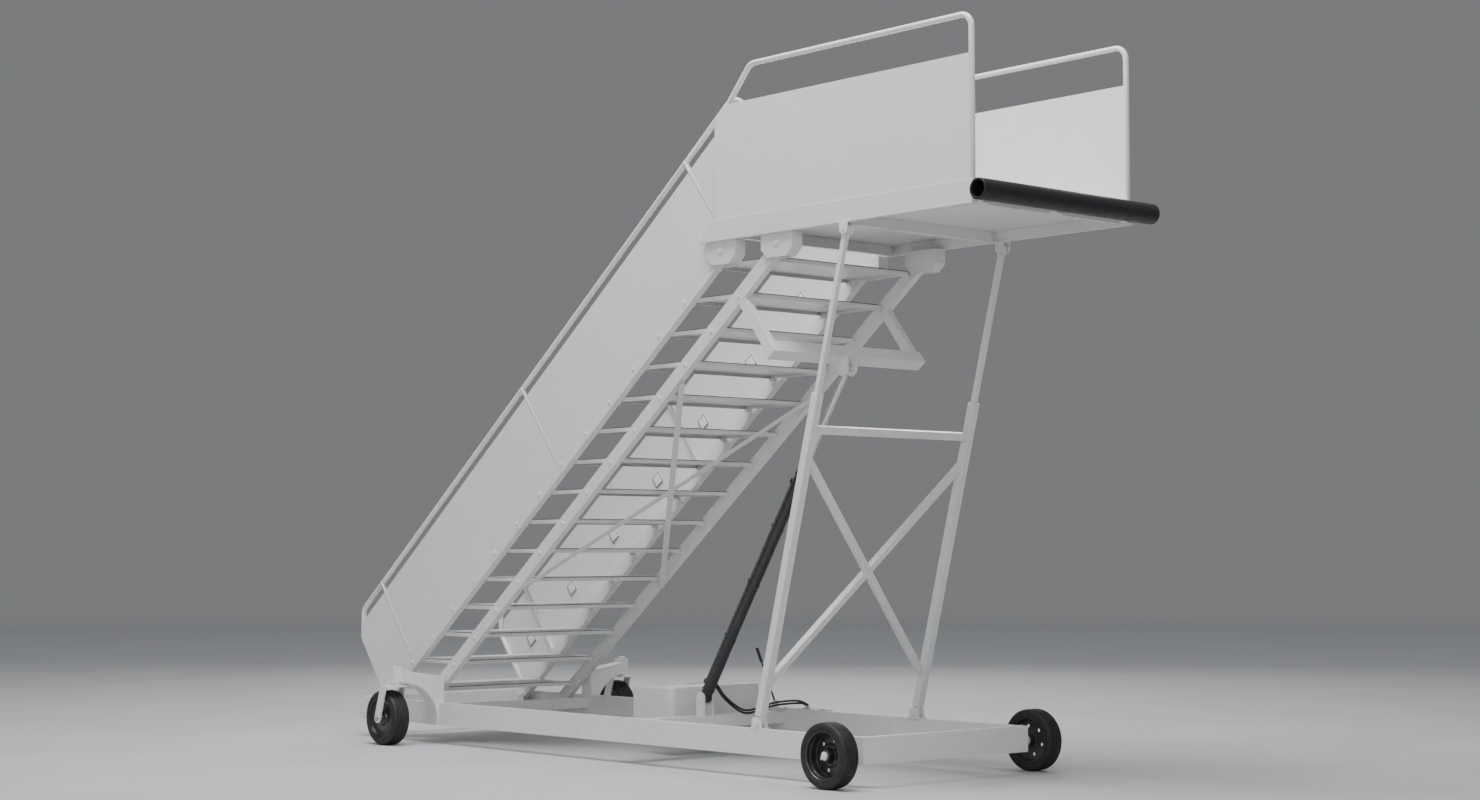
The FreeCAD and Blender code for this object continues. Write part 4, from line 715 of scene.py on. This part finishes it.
def fixed_wheels():
    """Ribbed tyres on deep black rims: rolled flange, stepped well, drilled disc, hub and nuts."""
    for side, hand in SIDES:
        centre, half, radius = wheel_place(f"fixed_tyre_{side}")
        stand = wheel_matrix(centre, hand)
        bead = radius - 0.056
        piece(f"fixed_tyre_skin_{side}", moved(tyre(half, bead, radius), stand), TYRE_RUBBER,
              f"fixed_wheel_{side}", [f"fixed_tyre_{side}"], 28)
        edge = half - 0.008
        barrel = rounded([
            (bead - 0.005, -edge), (bead, -edge), (bead, edge - 0.002, 0.001), (bead + 0.0045, edge, 0.001),
            (bead + 0.0045, edge + 0.004, 0.0015), (bead - 0.002, edge + 0.004, 0.002),
            (bead - 0.007, edge - 0.003, 0.004),
            (bead - 0.010, edge - 0.020, 0.006), (bead - 0.016, edge - 0.030, 0.006),
            (bead - 0.016, -0.012, 0.008),
            (bead - 0.022, -0.016), (bead - 0.022, -0.024), (bead - 0.012, -0.020, 0.006),
            (bead - 0.012, -edge + 0.012, 0.004)], 4)
        disc = rounded([
            (0.0225, -edge), (0.040, -edge, 0.002), (0.044, -0.028, 0.006), (0.070, -0.0225, 0.006),
            (0.108, -0.0225, 0.01),
            (bead - 0.0215, -0.0235), (bead - 0.0215, -0.0165), (0.108, -0.0150, 0.01),
            (0.074, -0.0150, 0.006),
            (0.066, -0.0085, 0.004), (0.045, -0.0085, 0.006), (0.041, 0.020, 0.004), (0.038, 0.034, 0.006),
            (0.033, 0.0385, 0.002), (0.0225, 0.0385)], 4)
        bores = [moved(lathe([(0.0, -0.04), (0.0115, -0.04), (0.0115, 0.01), (0.0, 0.01)], 32),
                       Matrix.Rotation(math.tau * k / 6 + math.radians(15), 4, "Z") @ at(0.094, 0, 0))
                 for k in range(6)]
        parts = [lathe(barrel, 144), carved(lathe(disc, 144), bores)]
        parts += bolt_ring(6, 0.0555, 0.0072, 0.006, -0.0087, 0.0012, math.radians(45))
        parts.append(moved(ring_weld(bead - 0.0205, 0.0022), at(0, 0, -0.0150)))
        piece(f"fixed_rim_skin_{side}", moved(merged(parts), stand), RIM_PAINT, f"fixed_wheel_{side}",
              [f"fixed_rim_{side}"], 30)
        cap = rounded([(0.0, 0.0390), (0.0265, 0.0390, 0.001), (0.0265, 0.0440, 0.002), (0.0235, 0.0455),
                       (0.0235, 0.0485, 0.003),
                       (0.012, 0.0515, 0.004), (0.0, 0.0515)], 4)
        parts = [moved(lathe(cap, 48), stand)]
        for low, high, r in ((-0.185, -0.0725, 0.0375), (-0.185, 0.039, 0.0215)):
            parts.append(moved(lathe([(0.0, low), (r - 0.001, low), (r, low + 0.001), (r, high - 0.001),
                                      (r - 0.001, high),
                                      (0.0, high)], 40), stand))
        piece(f"axle_cap_{side}", merged(parts), RAIL_PAINT, "chassis",
              ["wheel_axles"] if side == "left" else (), 30)


def casters():
    """Solid caster tyres on recessed moulded discs, with axle nuts and swivel caps on the forks."""
    for side, hand in SIDES:
        centre, half, radius = wheel_place(f"caster_tyre_{side}")
        stand = wheel_matrix(centre, hand)
        bead = radius - 0.050
        piece(f"caster_tyre_skin_{side}", moved(tyre(half, bead, radius), stand), TYRE_RUBBER,
              f"caster_wheel_{side}", [f"caster_tyre_{side}"], 28)
        edge = half - 0.008
        face = [(bead, edge), (bead - 0.003, edge + 0.002), (bead - 0.008, edge, 0.002),
                (bead - 0.013, edge - 0.018, 0.005),
                (bead - 0.045, edge - 0.026, 0.006), (bead - 0.050, edge - 0.022, 0.003),
                (0.060, edge - 0.022, 0.006),
                (0.050, edge - 0.006, 0.006), (0.036, edge - 0.002, 0.004), (0.0290, edge + 0.0125, 0.002),
                (0.0122, edge + 0.0125)]
        profile = rounded(face, 4)
        profile += [(r, -z) for r, z in reversed(profile)]
        piece(f"caster_rim_skin_{side}", moved(lathe(profile, 120), stand), RIM_PAINT, f"caster_wheel_{side}",
              [f"caster_rim_{side}"], 30)
        low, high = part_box(f"caster_fork_{side}")
        parts = []
        for way in (-1, 1):
            nut = moved(hex_head(0.0175, 0.011, 0.003), Matrix.Rotation(0.4, 4, "Z"))
            parts.append(moved(nut, across((high.y - low.y) / 2 - 0.007, way, centre.x, centre.z)))
        parts = [moved(part, at(0, centre.y, 0)) for part in parts]
        swivel = JOINTS[f"caster_swivel_{side}"]["pos_m"]
        cap = rounded([(0.0, -0.001), (0.026, -0.001), (0.026, 0.002, 0.001), (0.018, 0.005, 0.003),
                       (0.0, 0.005)])
        parts.append(moved(lathe(cap, 48), at(swivel[0], swivel[1], high.z)))
        piece(f"caster_hardware_{side}", merged(parts), ZINC, f"caster_{side}")


# ---------------------------------------------------------------- platform

BUMPER_WALL = 0.014


def deck():
    """Floor plate with a raised bar pattern on top and plain paint underneath."""
    low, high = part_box("platform_deck")
    parts = [block(low, high, 0.0008)]
    pitch, half, wide, rise = 0.040, 0.0150, 0.0034, 0.0016
    lens = [(-half, 0), (-half * 0.5, -wide * 0.8), (0, -wide), (half * 0.5, -wide * 0.8), (half, 0),
            (half * 0.5, wide * 0.8), (0, wide), (-half * 0.5, wide * 0.8)]
    shapes = []
    for turn in (45, -45):
        c, s = math.cos(math.radians(turn)), math.sin(math.radians(turn))
        shapes.append([(x * c - y * s, x * s + y * c) for x, y in lens])
    bars = bmesh.new()
    columns = int((high.x - low.x - 0.06) / pitch)
    rows = int((high.y - low.y - 0.06) / pitch)
    for i in range(columns):
        for j in range(rows):
            x = low.x + 0.03 + (i + 0.5) * (high.x - low.x - 0.06) / columns
            y = low.y + 0.03 + (j + 0.5) * (high.y - low.y - 0.06) / rows
            shape = shapes[(i + j) % 2]
            base = [bars.verts.new((x + a, y + b, high.z - 0.0002)) for a, b in shape]
            top = [bars.verts.new((x + a * 0.8, y + b * 0.6, high.z + rise)) for a, b in shape]
            bars.faces.new(top)
            bars.faces.new(base[::-1])
            for k in range(8):
                bars.faces.new((base[k], base[(k + 1) % 8], top[(k + 1) % 8], top[k]))
    parts.append(bars)
    piece("deck_plate", merged(parts), DECK_PAINT, "platform", ["platform_deck"], 40)


def bumper():
    """A heavy smooth rubber tube, open at both ends."""
    low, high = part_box("dock_bumper")
    centre, radius, half = (low + high) / 2, (high.z - low.z) / 2, high.y
    bore = radius - BUMPER_WALL
    profile = rounded([(bore, -half, 0.003), (radius, -half, 0.006), (radius, half, 0.006),
                       (bore, half, 0.003)], 6)
    stand = at(centre.x, 0, centre.z) @ QUARTER_X
    piece("bumper_tube", moved(lathe(profile, 128), stand), BUMPER_RUBBER, "platform", ["dock_bumper"],
          30)


def linkage_pins():
    """Domed, washered pins through both plates of the platform brackets."""
    profile = rounded([(0.0, 0.6152), (0.017, 0.6152, 0.002), (0.0205, 0.6175, 0.001), (0.0205, 0.6198),
                       (0.0148, 0.6198),
                       (0.0148, 0.7125), (0.0240, 0.7125, 0.0006), (0.0240, 0.7150, 0.0006), (0.0205, 0.7150),
                       (0.0205, 0.7185, 0.002), (0.0120, 0.7215, 0.004), (0.0, 0.7220)], 4)
    parts = []
    for shift in (0.0, GAP):
        spot = pivot("platform_pivot")
        for hand in (-1, 1):
            parts.append(moved(lathe(profile, 48), across(0.0, hand, spot.x - shift, spot.z)))
    piece("platform_pin_set", merged(parts), RAIL_PAINT, "platform", ["platform_pins"], 35)


# ---------------------------------------------------------------- hydraulics

def hoses():
    """Two hoses from the pump to the cylinder's lower port."""
    radius = 0.0078
    low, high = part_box("hydraulic_hoses")
    land = high.x - radius
    for k in range(2):
        port = RAM @ Vector((-0.050, 0.014, 0.097 + 0.021 * k))
        lift = 0.020 * k
        floor = low.z + radius
        way = [port, RAM @ Vector((-0.050, 0.060, 0.097 + 0.021 * k)), (0.040, 0.135, 0.400 + lift),
               (0.046, 0.290, floor + lift),
               (0.052, 0.420, floor + lift), (0.082, 0.560, 0.340 + lift),
               (land - 0.120 + 0.026 * k, 0.695, 0.354 + lift),
               (land - 0.045 + 0.026 * k, 0.726, 0.352), (land - 0.026 + 0.026 * k, 0.730, 0.323)]
        path = smooth_path(way, 14)
        tube = along_path(path, radius, 20, swell=lambda i: 1.0 + (0.012 if i % 2 else 0.0))
        sleeves = [along_path(path[:7], radius * 1.28, 20), along_path(path[-8:], radius * 1.28, 20)]
        whole = merged([tinted(tube, 0)] + [tinted(part, 1) for part in sleeves])
        hose = piece(f"hydraulic_hose_{k + 1}", whole, [HOSE_RUBBER, ZINC], None,
                     ["hydraulic_hoses"] if k == 0 else (), 40)
        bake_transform(hose)
    fittings = []
    for k in range(2):
        fittings.append(moved(hex_head(0.0125, 0.012), at(land - 0.026 + 0.026 * k, 0.730, 0.3165)))
    piece("pump_fittings", merged(fittings), ZINC, "chassis")
    unions = []
    for k in range(2):
        unions.append(moved(hex_head(0.0115, 0.010), RAM @ at(-0.050, 0.0138, 0.097 + 0.021 * k)
                            @ QUARTER_X))
    piece("cylinder_unions", merged(unions), ZINC, "cylinder")


def cylinder_details():
    """Weld rings, pipe clips and a wiper on the lift cylinder."""
    radius = 0.0415
    end = 1.830
    parts = [moved(ring_weld(radius + 0.0005, 0.0035), RAM @ at(0, 0, 0.071))]
    for place in (0.50, 0.95, 1.40):
        band = rounded([(radius - 0.0005, -0.012), (radius + 0.0022, -0.012, 0.0008),
                        (radius + 0.0022, 0.012, 0.0008),
                        (radius - 0.0005, 0.012)], 3)
        parts.append(moved(lathe(band, 64), RAM @ at(0, 0, place)))
        saddle = block((-radius - 0.0215, -0.0085, place - 0.011), (-radius + 0.002, 0.0085, place + 0.011),
                       0.0015)
        parts.append(moved(saddle, RAM))
        bolt = hex_head(0.006, 0.004, 0.001)
        parts.append(moved(bolt, RAM @ at(-radius - 0.0212, 0, place) @ QUARTER_Y))
    piece("cylinder_clips", merged(parts), BLACK_PAINT, "cylinder")
    wiper = rounded([(0.0223, end + 0.0418), (0.0335, end + 0.0418, 0.001), (0.0335, end + 0.0450, 0.001),
                     (0.0260, end + 0.0480, 0.002),
                     (0.0223, end + 0.0490)], 3)
    piece("rod_wiper", moved(lathe(wiper, 64), RAM), HOSE_RUBBER, "cylinder")


def pump_details():
    """Plate bolts and a ribbed-grip lever."""
    low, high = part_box("hand_pump")
    top = 0.317
    parts = []
    for x in (low.x + 0.025, low.x + 0.22, high.x - 0.22, high.x - 0.025):
        for y in (low.y + 0.018, low.y + 0.040):
            if abs(x - (low.x + 0.22)) > 0.01 or y < low.y + 0.03:
                parts.append(moved(hex_head(0.0085, 0.0065, 0.0018), at(x, y, top - 0.0002)
                                   @ Matrix.Rotation(x * 9, 4, "Z")))
    piece("pump_bolts", merged(parts), ZINC, "chassis")
    x, y, z = JOINTS["pump_lever_pivot"]["pos_m"]
    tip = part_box("pump_lever")
    reach = math.hypot(tip[1].z - z, tip[0].x - x)
    lean = math.atan2(x - tip[0].x - 0.009, tip[1].z - z)
    stand = at(x, y, z) @ Matrix.Rotation(-lean, 4, "Y")
    length = reach - 0.004
    bar = rounded([(0.0, 0.004), (0.0075, 0.004), (0.0075, 0.060, 0.004), (0.0068, 0.070, 0.004),
                   (0.0062, length - 0.112, 0.003),
                   (0.0062, length - 0.020), (0.0, length - 0.020)], 4)
    eye = rounded([(0.0062, -0.009), (0.0115, -0.009, 0.001), (0.0120, -0.006, 0.001),
                   (0.0120, 0.006, 0.001), (0.0115, 0.009, 0.001),
                   (0.0062, 0.009)], 3)
    grip = [(0.0, length - 0.112), (0.0085, length - 0.112), (0.0118, length - 0.109),
            (0.0118, length - 0.104)]
    for k in range(12):
        z0 = length - 0.100 + 0.0075 * k
        grip += [(0.0108, z0), (0.0100, z0 + 0.0012), (0.0100, z0 + 0.0026), (0.0108, z0 + 0.0038)]
    grip += [(0.0112, length - 0.008), (0.0095, length - 0.002), (0.0050, length), (0.0, length)]
    whole = merged([tinted(moved(lathe(bar, 32), stand), 0),
                    tinted(moved(lathe(eye, 40), at(x, y, z) @ QUARTER_X), 0),
                    tinted(moved(lathe(grip, 40), stand), 1)])
    piece("pump_handle", whole, [BLACK_PAINT, GRIP], "pump_lever", ["pump_lever"], 35)


def tank_details():
    """A seam weld round the tank and a ribbed filler cap with its collar."""
    low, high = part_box("hydraulic_tank")
    bend = 0.045
    path = rounded([(low.x, low.y, bend), (high.x, low.y, bend), (high.x, high.y, bend),
                    (low.x, high.y, bend)], 8)
    seam = weld([(x, y, low.z + 0.030) for x, y in path], 0.0024, closed=True)
    piece("tank_seam", seam, WELD_PAINT, "chassis")
    cap_low, cap_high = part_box("tank_filler_cap")
    centre = (cap_low + cap_high) / 2
    rings = []
    teeth = 36
    for z, size, deep in ((0.0, 0.031, 0.0), (0.003, 0.0335, 0.0015), (0.019, 0.0330, 0.0015),
                          (0.022, 0.0305, 0.0005), (0.0235, 0.020, 0.0)):
        rings.append([polar(size - (deep if k % 4 < 2 else 0.0), k / (teeth * 4),
                            z) for k in range(teeth * 4)])
    stand = at(low.x, centre.y, centre.z) @ QUARTER_Y
    collar = lathe(rounded([(0.0245, -0.012), (0.038, -0.002, 0.001), (0.038, 0.0015, 0.001),
                            (0.0245, 0.0015)], 3), 64)
    piece("filler_cap", moved(merged([skin(rings, closed=False), collar]), stand), GRIP, "chassis",
          ["tank_filler_cap"],
          35)


# ---------------------------------------------------------------- welds

def rectangle_welds(place, axis, level, first, second, radius=0.003):
    """On each side, a bead round a rectangle square to Y or Z; the numbers are for the left side."""
    beads = []
    for hand in (-1, 1):
        if axis == "y":
            (a, b), (c, d) = first, second
            corners = [(u, hand * level, v) for u, v in ((a, c), (b, c), (b, d), (a, d))]
        else:
            (a, b), (c, d) = first, sorted(hand * y for y in second)
            corners = [(u, v, level) for u, v in ((a, c), (b, c), (b, d), (a, d))]
        beads.append(moved(weld(corners, radius, closed=True), place))
    return beads


def line_welds(points, radius, place=UPRIGHT):
    """On each side, a bead along straight runs; the points are for the left side."""
    return [moved(weld([(x, hand * y, z) for x, y, z in points], radius), place) for hand in (-1, 1)]


def round_welds(place, centre, radius, bead, turns=44):
    """On each side, a bead round a tube that stands up from a surface; the centre is for the left side."""
    x, y, z = centre
    return [moved(ring_weld(radius, bead, turns), place @ at(x, hand * y, z)) for hand in (-1, 1)]


def welds():
    """Beads where tubes and plates meet, one piece for each body."""
    rail_low, rail_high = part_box("chassis_rails")
    inner, outer, under, over = rail_high.y - 0.050, rail_high.y, rail_low.z, rail_high.z
    foot, ram = pivot("leg_swing").x, pivot("cylinder_swing").x
    beams = []
    for x, half in ((-0.030, 0.070), (-2.270, 0.030)):
        beams += rectangle_welds(UPRIGHT, "y", inner, (x - half, x + half), (0.209, 0.289))
    for x in (rail_low.x, rail_high.x):
        beams += line_welds([(x, inner, under + 0.002), (x, inner, over), (x, outer, over)], 0.0032)
    for x in (-2.340, -2.220):
        beams += line_welds([(x, outer, under + 0.01), (x, outer, over), (x, inner, over)], 0.0035)
    beams += rectangle_welds(UPRIGHT, "z", over, (foot - 0.062, foot + 0.062), (0.690, 0.7495))
    beams += rectangle_welds(UPRIGHT, "z", 0.289, (ram - 0.042, ram + 0.042), (0.034, 0.046), 0.0026)
    for x in (FOOT.x, HEAD.x):
        beams += line_welds([(x - 0.060, inner, 0.198), (x + 0.060, inner, 0.198)], 0.003)
        beams += line_welds([(x - 0.060, 0.622, 0.1985), (x + 0.060, 0.622, 0.1985)], 0.0026)

    legs = rectangle_welds(LEG, "y", LEG_IN, (-0.025, 0.025), (1.900, 1.950))
    legs += rectangle_welds(LEG, "z", 0.0545, (-0.028, 0.028), (LEG_IN, LEG_OUT), 0.0026)

    lower = []
    for drop in (-0.0450, -0.4350):
        lower += rectangle_welds(LOWER, "z", drop, (4.575, 4.645), (STRINGER_IN, STRINGER_OUT))
    lower += line_welds([(4.565, 0.034, -0.525), (4.565, 0.034, -0.470)], 0.0026, LOWER)

    upper = []
    for along in (0.530, 2.855, 5.186):
        for up, radius in ((0.0455, 0.0165), (0.7365, 0.0168)):
            upper += round_welds(UPPER, (along, 0.676, up), radius, 0.0022, 40)
    upper += round_welds(UPPER, (0.043, 0.667, 0.0465), 0.0195, 0.0024)

    top = []
    for x in (-0.027, 2.270):
        top += round_welds(PLATFORM, (x, 0.715, 0.2075), 0.0185, 0.0026)
    for pin in (0.0, GAP):
        top += line_welds([(pin - 0.147, 0.7125, BEAM_LOW), (pin + 0.147, 0.7125, BEAM_LOW)], 0.0032,
                          PLATFORM)
    for x in (0.156, 1.104):
        for side in (x, x + 0.050):
            top += line_welds([(side, 0.7015, 0.066), (side, 0.7015, 0.133)], 0.0028, PLATFORM)
    head = 1.2095
    top += rectangle_welds(PLATFORM, "z", BEAM_LOW, (head - 0.044, head + 0.044), (0.687, 0.7395), 0.0028)

    for name, beads, body in (("chassis", beams, "chassis"), ("leg", legs, "leg_frame"),
                              ("lower_flight", lower, "lower_flight"),
                              ("upper_flight", upper, "upper_flight"),
                              ("platform", top, "platform")):
        piece(f"{name}_welds", merged(beads), WELD_PAINT, body, angle=80)


treads()
tread_bolts()
step_lamps()
fixed_wheels()
casters()
deck()
bumper()
linkage_pins()
hoses()
cylinder_details()
pump_details()
tank_details()
welds()


# ---------------------------------------------------------------- stage

def stage():
    """Level pale ground, wide enough to meet the backdrop's tone in every direction."""
    bm = bmesh.new()
    reach, sides = 400.0, 96
    bm.faces.new([bm.verts.new(polar(reach, k / sides)) for k in range(sides)])
    piece("studio_floor", bm, floor_finish("studio_floor"), None, angle=60.0)


def soft_light(name, place, aim, size, power, colour=(1.0, 1.0, 1.0)):
    """A rectangular soft box aimed at a point."""
    lamp = bpy.data.lights.new(name, "AREA")
    lamp.shape = "RECTANGLE"
    lamp.size, lamp.size_y = size
    lamp.energy = power
    lamp.color = colour
    item = bpy.data.objects.new(name, lamp)
    item.location = place
    item.rotation_euler = (Vector(aim) - Vector(place)).to_track_quat("-Z", "Y").to_euler()
    bpy.context.scene.collection.objects.link(item)


def backdrop():
    """Even pale surroundings that light the object; the lens sees them as a plain darker grey."""
    world = bpy.data.worlds.new("surroundings")
    world.use_nodes = True
    tree = world.node_tree
    light = tree.nodes["Background"]
    light.inputs[0].default_value = (0.76, 0.78, 0.82, 1.0)
    light.inputs[1].default_value = 0.40
    seen = tree.nodes.new("ShaderNodeBackground")
    seen.inputs[0].default_value = (*BACKDROP, 1.0)
    path = tree.nodes.new("ShaderNodeLightPath")
    either = tree.nodes.new("ShaderNodeMixShader")
    tree.links.new(path.outputs["Is Camera Ray"], either.inputs[0])
    tree.links.new(light.outputs[0], either.inputs[1])
    tree.links.new(seen.outputs[0], either.inputs[2])
    tree.links.new(either.outputs[0], tree.nodes["World Output"].inputs[0])
    bpy.context.scene.world = world


def camera():
    """The viewing angle: low, from beyond the aircraft end on the right-hand side."""
    lens = bpy.data.cameras.new("camera")
    lens.sensor_width = 36.0
    lens.lens = 57.5
    lens.clip_end = 900.0
    item = bpy.data.objects.new("camera", lens)
    item.location = (12.665, -10.930, 1.429)
    item.rotation_euler = (math.radians(90 + 3.709), 0, math.radians(48.409))
    bpy.context.scene.collection.objects.link(item)
    bpy.context.scene.camera = item


stage()
soft_light("overhead", (1.0, -2.5, 11.5), (0.3, 0, 1.5), (9.0, 6.0), 1750)
soft_light("key", (9.5, -9.0, 6.5), (0.5, 0, 2.0), (5.0, 5.0), 420)
soft_light("rim", (-8.0, 8.0, 7.0), (0, 0, 2.5), (7.0, 5.0), 420, (1.0, 0.985, 0.96))
backdrop()
camera()
